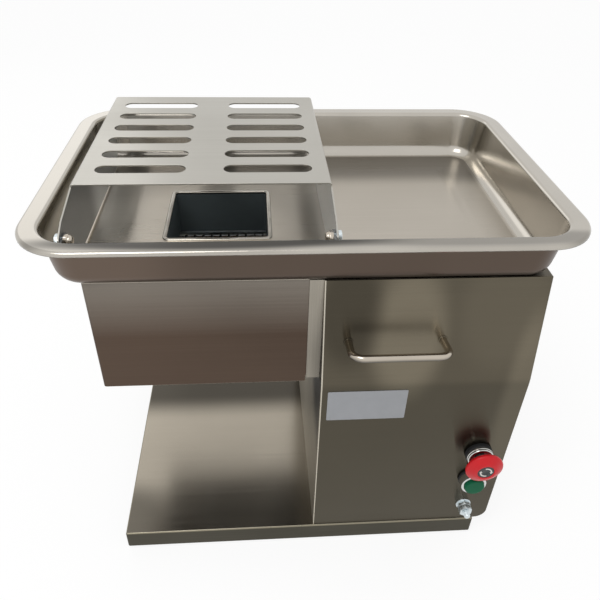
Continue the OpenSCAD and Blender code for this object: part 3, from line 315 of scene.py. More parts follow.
@dataclass(frozen=True)
class PressedSteel(Finish):
    """Stainless sheet drawn in a press and left with its satin mill face.

    It mirrors what stands near it in soft outlines, with wipe marks and a slight ripple.

    Attributes:
        wipe: size of the wipe marks, mm.
        ripple: depth of the ripple, mm.
        change: share by which the marks change the colour.
        marks: roughness between the clearest and the dullest mark.
        grit: size of the fine grit, mm.
        speck: roughness that the grit adds.
        patches: patches of painted light and shade, lighter or darker than the rest and some duller.
    """

    wipe: float = 45.0
    ripple: float = 0.03
    change: float = 0.06
    marks: float = 0.12
    grit: float = 0.9
    speck: float = 0.03
    patches: tuple[Patch, ...] = ()

    def lay(self, tree: Tree) -> None:
        """Lays wipe marks, fine grit and ripple."""
        place = put(tree, "ShaderNodeTexCoord").outputs["Object"]
        wipe, grit = (put(tree, "ShaderNodeTexNoise", {
            "Vector": place, "Scale": 1 / (size * MM), "Detail": detail,
        }) for size, detail in ((self.wipe, 1.0), (self.grit, 2.0)))
        colour = put(tree, "ShaderNodeMix", {
            0: wipe.outputs[0], COLOUR_A: toned(self.shade, 1 - self.change),
            COLOUR_B: toned(self.shade, 1 + self.change),
        }, data_type="RGBA")
        marks = put(tree, "ShaderNodeMath", {
            0: wipe.outputs[0], 1: self.marks, 2: self.rough - self.marks / 2,
        }, operation="MULTIPLY_ADD")
        dull = put(tree, "ShaderNodeMath", {0: grit.outputs[0], 1: self.speck, 2: marks.outputs[0]},
                   operation="MULTIPLY_ADD")
        wave = put(tree, "ShaderNodeBump", {
            "Height": wipe.outputs[0], "Strength": 0.35, "Distance": self.ripple * MM,
        })
        face = {"Base Color": colour.outputs[COLOUR_OUT], "Roughness": dull.outputs[0]}
        steel = put(tree, "ShaderNodeBsdfPrincipled", {
            **lay_painted_patches(tree, face, place, self.patches), "Metallic": 1.0, "Normal": wave.outputs[0],
        })
        put(tree, "ShaderNodeOutputMaterial", {"Surface": steel.outputs[0]})


@dataclass(frozen=True)
class BrightMetal(Finish):
    """Turned or drawn metal with a plated or polished face.

    It is bright and mirrors sharply, with a slight cloud in the plating.

    Attributes:
        cloud: size of the clouds, mm.
        change: share by which they change the colour.
    """

    cloud: float = 6.0
    change: float = 0.08

    def lay(self, tree: Tree) -> None:
        """Lays the clouds over the metal."""
        place = put(tree, "ShaderNodeTexCoord").outputs["Object"]
        cloud = put(tree, "ShaderNodeTexNoise", {
            "Vector": place, "Scale": 1 / (self.cloud * MM), "Detail": 4.0,
        })
        colour = put(tree, "ShaderNodeMix", {
            0: cloud.outputs[0], COLOUR_A: toned(self.shade, 1 - self.change),
            COLOUR_B: toned(self.shade, 1 + self.change),
        }, data_type="RGBA")
        dull = put(tree, "ShaderNodeMath", {0: cloud.outputs[0], 1: self.rough, 2: self.rough / 2},
                   operation="MULTIPLY_ADD")
        pits = put(tree, "ShaderNodeBump", {
            "Height": cloud.outputs[0], "Strength": 0.1, "Distance": PIT * MM,
        })
        metal = put(tree, "ShaderNodeBsdfPrincipled", {
            "Base Color": colour.outputs[COLOUR_OUT], "Metallic": 1.0, "Roughness": dull.outputs[0],
            "Normal": pits.outputs[0],
        })
        put(tree, "ShaderNodeOutputMaterial", {"Surface": metal.outputs[0]})


@dataclass(frozen=True)
class MouldedPlastic(Finish):
    """Even face without a metal's mirror: moulded plastic or rubber, ink, enamel, a casting's skin, or
    painted shade.

    It keeps an even colour with a fine grain, as from a mould, and a soft gloss.

    Attributes:
        grain: size of the grain, mm.
        depth: depth of that grain, mm.
        coat: weight of a clear gloss over it.
        ior: refractive index.
        flow: size of the marks that its flow left, mm.
        change: share by which they change the colour.
        marks: roughness between the glossiest and the dullest mark.
    """

    grain: float = 0.8
    depth: float = 0.03
    coat: float = 0.0
    ior: float = 1.5
    flow: float = 14.0
    change: float = 0.1
    marks: float = 0.14

    def lay(self, tree: Tree) -> None:
        """Lays the grain and the marks of its flow."""
        place = put(tree, "ShaderNodeTexCoord").outputs["Object"]
        grain, flow = (put(tree, "ShaderNodeTexNoise", {
            "Vector": place, "Scale": 1 / (size * MM), "Detail": 2.0,
        }) for size in (self.grain, self.flow))
        colour = put(tree, "ShaderNodeMix", {
            0: flow.outputs[0], COLOUR_A: toned(self.shade, 1 - self.change),
            COLOUR_B: toned(self.shade, 1 + self.change),
        }, data_type="RGBA")
        dull = put(tree, "ShaderNodeMath", {
            0: flow.outputs[0], 1: self.marks, 2: self.rough - self.marks / 2,
        }, operation="MULTIPLY_ADD")
        skin = put(tree, "ShaderNodeBump", {
            "Height": grain.outputs[0], "Strength": 0.2, "Distance": self.depth * MM,
        })
        body = put(tree, "ShaderNodeBsdfPrincipled", {
            "Base Color": colour.outputs[COLOUR_OUT], "Roughness": dull.outputs[0], "IOR": self.ior,
            "Coat Weight": self.coat, "Coat Roughness": 0.12, "Normal": skin.outputs[0],
        })
        put(tree, "ShaderNodeOutputMaterial", {"Surface": body.outputs[0]})


def seen_rays(tree: Tree) -> Socket:
    """The rays that show the surroundings: to the camera, in metal and through glass.

    Args:
        tree: tree of the world or of the floor's material.

    Returns:
        1 for such a ray and 0 for light on the object.
    """
    path = put(tree, "ShaderNodeLightPath").outputs
    seen = put(tree, "ShaderNodeMath", {0: path["Is Camera Ray"], 1: path["Is Glossy Ray"]}, operation="ADD")
    clear = put(tree, "ShaderNodeMath", {0: seen.outputs[0], 1: path["Is Transmission Ray"]},
                operation="ADD", use_clamp=True)
    return clear.outputs[0]


@dataclass(frozen=True)
class StudioPaper(Finish):
    """Pale paper floor that shows white to the camera and in metal, and keeps the shadow.

    Attributes:
        seen: its colour where it is seen, under its glow.
        glow: light that it gives where it is seen.
    """

    seen: str = "#7f7f7f"
    glow: float = 0.84

    def lay(self, tree: Tree) -> None:
        """Lays the paper's two faces, as seen and as a pale reflector."""
        rays = seen_rays(tree)
        lift = put(tree, "ShaderNodeMath", {0: rays, 1: self.glow}, operation="MULTIPLY")
        shade = put(tree, "ShaderNodeMix", {
            0: rays, COLOUR_A: linear(self.shade), COLOUR_B: linear(self.seen),
        }, data_type="RGBA")
        sheet = put(tree, "ShaderNodeBsdfPrincipled", {
            "Base Color": shade.outputs[COLOUR_OUT], "Roughness": self.rough, "Specular IOR Level": 0.0,
            "Emission Color": linear("#ffffff"), "Emission Strength": lift.outputs[0],
        })
        put(tree, "ShaderNodeOutputMaterial", {"Surface": sheet.outputs[0]})


# Belt-brushed stainless sheet of the housing, with reflections drawn out upright. Its dark olive-brown is a
# painted reflection of dim surroundings, lighter on the upper panel; it has painted shade about the handle's
# left leg and painted reflections brighter behind the handle, at the upper right and along its right edge.
PANEL = BrushedSteel(
    "stainless_steel_brushed_panel", "#504b40", 0.2, top="#5b5549", heights=(246.0, 254.0), streak=0.03,
    bite=0.02,
    patches=(Patch((36.0, -145.0, 330.0), (42.0, 60.0, 80.0), 0.65),
             Patch((92.0, -145.0, 305.0), (48.0, 60.0, 100.0), 1.75),
             Patch((180.0, -145.0, 330.0), (60.0, 60.0, 90.0), 1.2),
             Patch((216.0, -150.0, 215.0), (30.0, 60.0, 150.0), 1.5)),
)
# The same sheet on the side walls, brushed from front to back, with painted shade on the front of the left
# wall under the tray.
WALLS = BrushedSteel("stainless_steel_brushed_walls", "#837d71", 0.34, grain=Grain.DEEP,
                     patches=(Patch((12.0, -155.0, 240.0), (20.0, 110.0, 115.0), 0.15),))
# Brushed sheet of the discharge hood. Its brown is a painted reflection of dim surroundings, and its upper
# part under the tray is painted paler as a reflection.
HOOD = BrushedSteel("stainless_steel_brushed_hood", "#584a40", 0.36, top="#837c73", heights=(300.0, 360.0),
                    streak=0.03, bite=0.03)
# Brushed top of the base pan, clear enough to mirror the hood above it, with painted shade: dark at the back
# under the hood, and darker along the front and at the front left corner.
BASE = BrushedSteel("stainless_steel_brushed_base", "#a8a092", 0.22, smear=0.6, streak=0.03, bite=0.03,
                    patches=(Patch((-90.0, 105.0, 27.0), (900.0, 95.0, 60.0), 0.2),
                             Patch((-90.0, -160.0, 27.0), (900.0, 95.0, 60.0), 0.75),
                             Patch((-215.0, -150.0, 27.0), (90.0, 85.0, 60.0), 0.55)))
# Folded lips of the base pan: a duller copy of its steel, painted darker as shade on the upright faces.
LIPS = BrushedSteel("stainless_steel_brushed_lips", "#4e4b42", 0.34)
# Rolled edge of the base pan: a copy of its steel painted lighter than the lips, as a highlight.
ROLLED = BrightMetal("stainless_steel_rolled_edge", "#86806f", 0.34)
# Rounded edges of the housing's left side and of the hood: a copy of the steel painted brighter than the
# faces, as a highlight.
EDGES = BrightMetal("stainless_steel_edge_painted_highlight", "#c6bfb1", 0.3)
# Fine-brushed sheet of the hand guard: even, pale and soft.
GUARD = BrushedSteel("stainless_steel_satin_guard", "#b6b3ab", 0.34, smear=0.4, streak=0.03)
# Inner face of the guard: a copy of its steel painted lighter, so that the tray floor below mirrors it
# bright, with painted shade on the front of its left cheek.
GUARD_IN = BrushedSteel("stainless_steel_guard_inner_painted_light", "#e9ecee", 0.34, smear=0.4, streak=0.03,
                        patches=(Patch((-215.0, -80.0, 395.0), (60.0, 95.0, 200.0), 0.33),))
# Folded strip of the hood's guides, cut from paler sheet.
GUIDES = BrushedSteel("stainless_steel_brushed_strip", "#9c968b", 0.3, grain=Grain.UPRIGHT)
# Rim and walls of the drawn tray, bright like kitchen ware, with painted shade along the front rim, darkest
# at its left half, and painted light on the left wall, which is also made matt.
TRAY_IN = PressedSteel("stainless_steel_pressed_bright", "#bab5ac", 0.18,
                       patches=(Patch((-85.0, -150.0, 412.0), (200.0, 17.0, 16.0), 0.15),
                                Patch((140.0, -150.0, 412.0), (200.0, 17.0, 16.0), 0.6),
                                Patch((-224.0, -20.0, 385.0), (22.0, 220.0, 26.0), 1.9, 0.55)))
# Floor of the tray, which keeps the rolling lines of its sheet: reflections are drawn out from front to back.
# It is painted lighter left of the feed under the guard, as light, and darker at the back, a painted
# reflection of its back wall.
TRAY_FLOOR = BrushedSteel("stainless_steel_rolled_floor", "#b9b2a7", 0.32, smear=0.85, streak=0.02,
                          patches=(Patch((-130.0, -50.0, 366.0), (150.0, 110.0, 25.0), 1.45),
                                   Patch((60.0, 110.0, 364.0), (900.0, 75.0, 40.0), 0.48)))
# Outside of the drawn tray: a duller copy of its steel, painted darker and browner as shade, with painted
# light at its left end.
TRAY_OUT = PressedSteel("stainless_steel_pressed_dull", "#5d5148", 0.32,
                        patches=(Patch((-215.0, -150.0, 385.0), (130.0, 400.0, 120.0), 1.35),))
# Polished lip of the feed opening, which draws a bright line round it.
THROAT = PressedSteel("stainless_steel_polished_lip", "#c4bfb5", 0.15, wipe=20.0)
# Walls inside the feed opening, painted dark slate as the shade deep in the hole; they give back little
# light.
THROAT_IN = MouldedPlastic("steel_throat_painted_shade", "#5a6365", 0.5)
# Cross-ground blades and the plates that carry them, painted dark as the shade under the tray.
BLADES = BrightMetal("stainless_steel_ground", "#3e4040", 0.4)
# Plain turned steel of shafts, spacers and brackets, half bright.
PLAIN = BrightMetal("steel_turned_plain", "#777775", 0.3)
# Polished rod of the handle, bright on top and painted darker below, a painted reflection of dim
# surroundings.
POLISHED = PressedSteel("stainless_steel_polished", "#bdb4a7", 0.16, wipe=30.0,
                        patches=(Patch((68.0, -173.0, 299.6), (300.0, 16.0, 6.0), 0.3),))
# Chrome plate on the buttons' collars, which mirrors sharply.
CHROME = BrightMetal("brass_chrome_plated", "#cfd0ce", 0.07)
# Zinc plate on bolts, nuts and the earth stud: bluish, clouded and half dull.
ZINC = BrightMetal("steel_zinc_plated", "#d6dee1", 0.42, cloud=3.0)
# Bronze bushes, warm and half dull.
BRONZE = BrightMetal("bronze_turned", "#b58a4c", 0.3)
# Cast-iron gear plate and gears, dark and granular.
IRON = MouldedPlastic("cast_iron_machined", "#4a4a48", 0.5, grain=1.5, depth=0.1)
# Baked enamel on the motor, with a slight orange-peel.
PAINT = MouldedPlastic("enamel_baked_grey", "#6d7376", 0.4, grain=2.5, depth=0.06, coat=0.3)
# Moulded rubber of feet and gaskets, matt black.
RUBBER = MouldedPlastic("rubber_moulded", "#17181a", 0.65, ior=1.52)
# Black nylon of knobs, gland and nuts, with a faint sheen.
NYLON = MouldedPlastic("nylon_moulded_black", "#1c1d1e", 0.45)
# Pale polyester of the switch blocks, nearly matt.
SWITCH = MouldedPlastic("polyester_moulded_pale", "#c9c7be", 0.5)
# Red ABS of the emergency stop, with a soft gloss.
RED = MouldedPlastic("abs_moulded_red", "#da1621", 0.36, ior=1.42)
# Green ABS of the start button, duller and so deeper in colour.
GREEN = MouldedPlastic("abs_moulded_green", "#00603f", 0.55, ior=1.3)
# Dark grey insert of the emergency stop, with a soft sheen.
INSERT = MouldedPlastic("abs_moulded_dark_grey", "#2d3133", 0.42)
# White ink of the arrows on it, flat and even.
WHITE = MouldedPlastic("ink_printed_white", "#e9e7e2", 0.5)
# Silvered film of the bare rating plate, printed over and so half dull.
FOIL = MouldedPlastic("polyester_film_silvered", "#a2a4a8", 0.45, grain=0.5, coat=0.1)
# White paper under the machine, without gloss.
PAPER = StudioPaper("paper_white_floor", "#f2f2f1", 0.9)


class Pen:
    """Draws an outline as a chain of edges on the XY plane, by extruding and spinning its last point."""

    def __init__(self, bm: BMesh, x: float, y: float) -> None:
        """Sets the pen down at a point."""
        self.bm = bm
        self.start: BMVert = bm.verts.new((x, y, 0.0))
        self.tip: BMVert = self.start

    def line(self, x: float, y: float) -> "Pen":
        """Draws a straight edge to a point."""
        self.tip = bmesh.ops.extrude_vert_indiv(self.bm, verts=[self.tip])["verts"][0]
        self.tip.co = (x, y, 0.0)
        return self

    def arc(self, x: float, y: float, degrees: float, steps: int = 8) -> "Pen":
        """Draws an arc.

        Args:
            x: centre.
            y: centre.
            degrees: angle, positive to the left.
            steps: edges of the arc.

        Returns:
            The pen.
        """
        made = bmesh.ops.spin(
            self.bm, geom=[self.tip], cent=(x, y, 0.0), axis=UP, angle=math.radians(degrees), steps=steps,
        )["geom_last"]
        self.tip = next(part for part in made if isinstance(part, BMVert))
        return self

    def close(self) -> None:
        """Joins the last point to the first."""
        self.bm.edges.new((self.tip, self.start))


def verts_of(geom: Iterable) -> list[BMVert]:
    """The vertices among the parts that an operator returned."""
    return [part for part in geom if isinstance(part, BMVert)]


def edges_of(geom: Iterable) -> list[BMEdge]:
    """The edges among the parts that an operator returned."""
    return [part for part in geom if isinstance(part, BMEdge)]


def draw_out(bm: BMesh, edges: Iterable[BMEdge], way: Sequence[float]) -> None:
    """Draws edges out into faces along a way."""
    grown = bmesh.ops.extrude_edge_only(bm, edges=edges)["geom"]
    bmesh.ops.translate(bm, verts=verts_of(grown), vec=way)


def thicken(bm: BMesh, way: Sequence[float]) -> None:
    """Gives the faces drawn so far a thickness along a way."""
    grown = bmesh.ops.extrude_face_region(bm, geom=bm.faces[:])["geom"]
    bmesh.ops.translate(bm, verts=verts_of(grown), vec=way)


def mirror_all(bm: BMesh, axes: str) -> None:
    """Mirrors all that is drawn so far over each axis in turn and joins the halves."""
    for axis in axes:
        bmesh.ops.mirror(bm, geom=bm.verts[:] + bm.edges[:] + bm.faces[:], axis=axis, merge_dist=MERGE)
    bmesh.ops.remove_doubles(bm, verts=bm.verts[:], dist=MERGE)


def round_edges(bm: BMesh, edges: Sequence[BMEdge], reach: float, segments: int, material: int = -1) -> None:
    """Rounds edges off.

    Args:
        bm: their mesh.
        edges: the edges.
        reach: distance of the rounding from each edge.
        segments: faces across it.
        material: number of the material on it, or -1 for that of the faces beside it.
    """
    bmesh.ops.bevel(bm, geom=edges, offset=reach, affect="EDGES", segments=segments, profile=0.5,
                    material=material)


def block(bm: BMesh, low: Place, high: Place) -> None:
    """Adds a block between two opposite corners to an empty mesh."""
    bmesh.ops.create_cube(bm, size=1.0)
    bmesh.ops.scale(bm, vec=[b - a for a, b in zip(low, high)], verts=bm.verts[:])
    bmesh.ops.translate(bm, vec=[(a + b) / 2 for a, b in zip(low, high)], verts=bm.verts[:])


def slot_loop(bm: BMesh, x: float, y: float, length: float, width: float) -> None:
    """Draws a round-ended slot on the XY plane, lying along X.

    Args:
        bm: mesh to draw in.
        x: middle of the slot.
        y: middle of the slot.
        length: length over its round ends.
        width: width; a slot as long as it is wide is a round hole.
    """
    turn = Matrix.Rotation(math.pi / HOLE_SIDES, 4, "Z")
    ring = bmesh.ops.create_circle(bm, segments=HOLE_SIDES, radius=width / 2, matrix=turn)["verts"]
    for side in (-1, 1):
        half = [v for v in ring if v.co.x * side > 0]
        bmesh.ops.translate(bm, verts=half, vec=(side * (length - width) / 2, 0.0, 0.0))
    bmesh.ops.translate(bm, verts=ring, vec=(x, y, 0.0))


def fill_outlines(bm: BMesh) -> None:
    """Fills the outlines drawn on the XY plane, less the holes in them."""
    bmesh.ops.triangle_fill(bm, use_beauty=True, use_dissolve=False, edges=bm.edges[:])


def lathe(bm: BMesh, profile: Sequence[Point], steps: int) -> list[BMVert]:
    """Spins a chain of (radius, height) points about Z.

    Args:
        bm: mesh to add to.
        profile: points of the chain.
        steps: faces round the piece.

    Returns:
        The vertices made.
    """
    before = set(bm.verts)
    chain = [bm.verts.new((r, 0.0, h)) for r, h in profile]
    links = [bm.edges.new(pair) for pair in zip(chain, chain[1:])]
    bmesh.ops.spin(bm, geom=chain + links, cent=(0.0, 0.0, 0.0), axis=UP, angle=math.tau, steps=steps,
                   use_merge=True)
    made = [v for v in bm.verts if v not in before]
    bmesh.ops.remove_doubles(bm, verts=made, dist=MERGE)
    return [v for v in bm.verts if v not in before]


def bead(x: float, y: float, radius: float, start: float, end: float, steps: int = 5) -> list[Point]:
    """Points of a rounded corner in a profile.

    Args:
        x: centre, as a radius or a distance in.
        y: centre, as a height.
        radius: radius of the corner.
        start: first angle, degrees.
        end: last angle, degrees.
        steps: edges of the corner.

    Returns:
        The points in order.
    """
    turns = [math.radians(start + (end - start) * i / steps) for i in range(steps + 1)]
    return [(x + radius * math.cos(a), y + radius * math.sin(a)) for a in turns]


def hex_prism(bm: BMesh, radius: float, low: float, high: float) -> list[BMVert]:
    """Adds a hexagon prism about Z with its corners taken off, as on a nut.

    Args:
        bm: mesh to add to.
        radius: radius over the corners.
        low: lower end.
        high: upper end.

    Returns:
        The vertices made.
    """
    before = set(bm.verts)
    made = bmesh.ops.create_cone(
        bm, cap_ends=True, segments=6, radius1=radius, radius2=radius, depth=high - low,
        matrix=Matrix.Translation((0.0, 0.0, (low + high) / 2)),
    )["verts"]
    bmesh.ops.bevel(bm, geom=made, offset=radius * NUT_CHAMFER, affect="VERTICES", segments=2, profile=0.5,
                    material=-1)
    return [v for v in bm.verts if v not in before]


@dataclass
class Turning:
    """A part from the lathe, about Z, with the hexagons that a spanner grips.

    Attributes:
        profile: chain of (radius, height) points, if there is a turned part.
        hexes: radius over the corners, lower end and upper end of each hexagon.
        steps: faces round the turned part.
    """

    profile: Sequence[Point] = ()
    hexes: Sequence[Place] = ()
    steps: int = 48

    def add(self, bm: BMesh, place: Matrix) -> None:
        """Adds the part to a mesh.

        Args:
            bm: the mesh.
            place: transform from the lathe to the part's place.
        """
        made: list[BMVert] = []
        for radius, low, high in self.hexes:
            made += hex_prism(bm, radius, low, high)
        if self.profile:
            made += lathe(bm, self.profile, self.steps)
        bmesh.ops.transform(bm, matrix=place, verts=made)

    def mesh(self, *places: Matrix) -> BMesh:
        """A new mesh with the part at each place."""
        bm = bmesh.new()
        for place in places:
            self.add(bm, place)
        return bm


def round_frame(bm: BMesh, profile: Sequence[Point], half_x: float, half_y: float, corner: float,
                steps: int = 14) -> None:
    """Runs a profile round a rectangle with round corners, centred on the Z axis.

    One corner is spun, its ends are drawn to the middle lines and the quarter is mirrored twice.

    Args:
        bm: mesh to add to; it holds nothing else yet.
        profile: chain of (distance in from the outer edge, height) points.
        half_x: half the rectangle's width.
        half_y: half its depth.
        corner: corner radius at the outer edge, no less than the largest distance in.
        steps: faces round a corner.
    """
    chain = [bm.verts.new((half_x - d, half_y - corner, h)) for d, h in profile]
    links = [bm.edges.new(pair) for pair in zip(chain, chain[1:])]
    last = bmesh.ops.spin(bm, geom=chain + links, cent=(half_x - corner, half_y - corner, 0.0), axis=UP,
                          angle=QUARTER, steps=steps)["geom_last"]
    draw_out(bm, edges_of(last), (corner - half_x, 0.0, 0.0))
    draw_out(bm, links, (0.0, corner - half_y, 0.0))
    mirror_all(bm, "XY")


def cut(bm: BMesh, faces: Iterable[BMFace], point: Sequence[float], normal: Sequence[float]) -> None:
    """Scores faces along a plane."""
    geom = {part for f in faces for part in (f, *f.edges, *f.verts)}
    bmesh.ops.bisect_plane(bm, geom=list(geom), dist=SNAP, plane_co=point, plane_no=normal)


def flat_at(bm: BMesh, height: float) -> list[BMFace]:
    """Faces that lie flat at a height."""
    return [f for f in bm.faces if all(abs(v.co.z - height) < NEAR for v in f.verts)]


def face_up(bm: BMesh) -> None:
    """Makes the faces of an open shell agree, with its level faces looking up."""
    bmesh.ops.recalc_face_normals(bm, faces=bm.faces[:])
    bm.normal_update()
    if sum(f.normal.z * f.calc_area() for f in bm.faces) < 0:
        bmesh.ops.reverse_faces(bm, faces=bm.faces[:])


@dataclass
class Edges:
    """How a piece's sheet and edges are finished, in mm.

    Attributes:
        wall: thickness given to an open shell, behind its drawn face.
        radius: rounding of its sharp edges.
        outside: step in the materials' numbers from a shell's drawn face to its other one.
        shine: number of the material on the rounded edges, or -1 for that of the faces.
        closed: whether the mesh is a closed solid whose normals are recalculated.
    """

    wall: float = 0.0
    radius: float = 0.0
    outside: int = 0
    shine: int = -1
    closed: bool = True


def add_modifiers(obj: bpy.types.Object, edges: Edges) -> None:
    """Gives an object its wall, rounded edges and even shading.

    Args:
        obj: the object.
        edges: what to give it.
    """
    if edges.wall:
        wall = obj.modifiers.new("wall", "SOLIDIFY")
        wall.thickness = edges.wall * MM
        wall.offset = -1.0
        wall.use_even_offset = True
        wall.material_offset = edges.outside
    if edges.radius:
        soft = obj.modifiers.new("edges", "BEVEL")
        soft.width = edges.radius * MM
        soft.segments = 2
        soft.limit_method = "ANGLE"
        soft.angle_limit = ROUNDED
        soft.profile = 0.5
        soft.material = edges.shine
    if edges.wall or edges.radius:
        even = obj.modifiers.new("even", "WEIGHTED_NORMAL")
        even.keep_sharp = True


def finish_piece(bm: BMesh, name: str, body: Body, finishes: Sequence[Finish],
                 stands_for: Sequence[str], edges: Optional[Edges] = None,
                 place: Optional[Matrix] = None) -> None:
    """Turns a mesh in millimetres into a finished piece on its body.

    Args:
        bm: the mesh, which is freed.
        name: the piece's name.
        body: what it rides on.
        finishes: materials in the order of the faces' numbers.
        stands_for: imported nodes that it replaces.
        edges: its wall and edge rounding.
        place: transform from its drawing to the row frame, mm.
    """
    edges = edges or Edges()
    bmesh.ops.transform(bm, matrix=Matrix.Scale(MM, 4) @ (place or Matrix.Identity(4)), verts=bm.verts[:])
    if edges.closed:
        bmesh.ops.recalc_face_normals(bm, faces=bm.faces[:])
    mesh = bpy.data.meshes.new(name)
    bm.to_mesh(mesh)
    bm.free()
    mesh.shade_smooth()
    mesh.set_sharp_from_angle(angle=SHARP)
    for finish in finishes:
        mesh.materials.append(finish.material())
    obj = bpy.data.objects.new(name, mesh)
    bpy.context.scene.collection.objects.link(obj)
    add_modifiers(obj, edges)
    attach(obj, body.value)
    if stands_for:
        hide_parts(*stands_for)
    LOG.info("%s rides on %s and stands for %s", name, body.value, ", ".join(stands_for) or "nothing")


def dress_node(node: str, finish: Finish, radius: float = 0.0) -> None:
    """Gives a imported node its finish.

    Args:
        node: its name.
        finish: the finish.
        radius: rounding of its edges, mm.
    """
    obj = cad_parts[node]
    if not obj.material_slots:
        obj.data.materials.append(finish.material())
    for place in obj.material_slots:
        place.material = finish.material()
    if radius:
        weld = obj.modifiers.new("weld", "WELD")
        weld.merge_threshold = WELD * MM
        add_modifiers(obj, Edges(radius=radius))
    LOG.info("%s keeps its solid in %s", node, finish.name)


@dataclass
class BasePan:
    """Folded pan that everything stands on, with its feet."""

    width: float = 408.0
    depth: float = 310.0
    low: float = 3.0
    high: float = 27.0
    sheet: float = 1.5
    fold: float = 2.2
    soft: float = 0.3
    # Upward part of the normal from which a face belongs to the top, and to the rolled edge.
    level: float = 0.85
    leaning: float = 0.5
    foot: float = 14.0
    foot_inset: float = 34.0

    def build(self) -> None:
        """Builds the pan and its feet."""
        self.pan()
        self.feet()

    def pan(self) -> None:
        """Folds the pan: a box with soft folds and no bottom."""
        bm = bmesh.new()
        half_x, half_y = self.width / 2, self.depth / 2
        block(bm, (-half_x, -half_y, self.low), (half_x, half_y, self.high))
        bmesh.ops.delete(bm, geom=flat_at(bm, self.low), context="FACES_ONLY")
        round_edges(bm, [e for e in bm.edges if len(e.link_faces) == 2], self.fold, 4)
        bmesh.ops.recalc_face_normals(bm, faces=bm.faces[:])
        bm.normal_update()
        # The faces take copies of the pan's steel by their slope, as painted light and shade: top, rolled
        # edge, lips.
        for f in bm.faces:
            f.material_index = 0 if f.normal.z > self.level else 2 if f.normal.z > self.leaning else 1
        finish_piece(bm, "base_pan_folded", Body.HOUSING, [BASE, LIPS, ROLLED], ["base_pan"],
                     Edges(wall=self.sheet, radius=self.soft))

    def feet(self) -> None:
        """Turns the four rubber feet, narrower at the floor, with a hollow under each."""
        r = self.foot
        foot = Turning([
            (0.0, 1.2), (r * 0.4, 1.2), (r * 0.45, 0.0), *bead(r - 2.6, 1.2, 1.2, -90, 0),
            (r - 0.3, 8.0), (r, 25.4), (0.0, 25.4),
        ], steps=32)
        x, y = self.width / 2 - self.foot_inset, self.depth / 2 - self.foot_inset
        places = [Matrix.Translation((sx * x, sy * y, 0.0)) for sx in (-1, 1) for sy in (-1, 1)]
        finish_piece(foot.mesh(*places), "rubber_feet_moulded", Body.HOUSING, [RUBBER],
                     ["rubber_feet"])


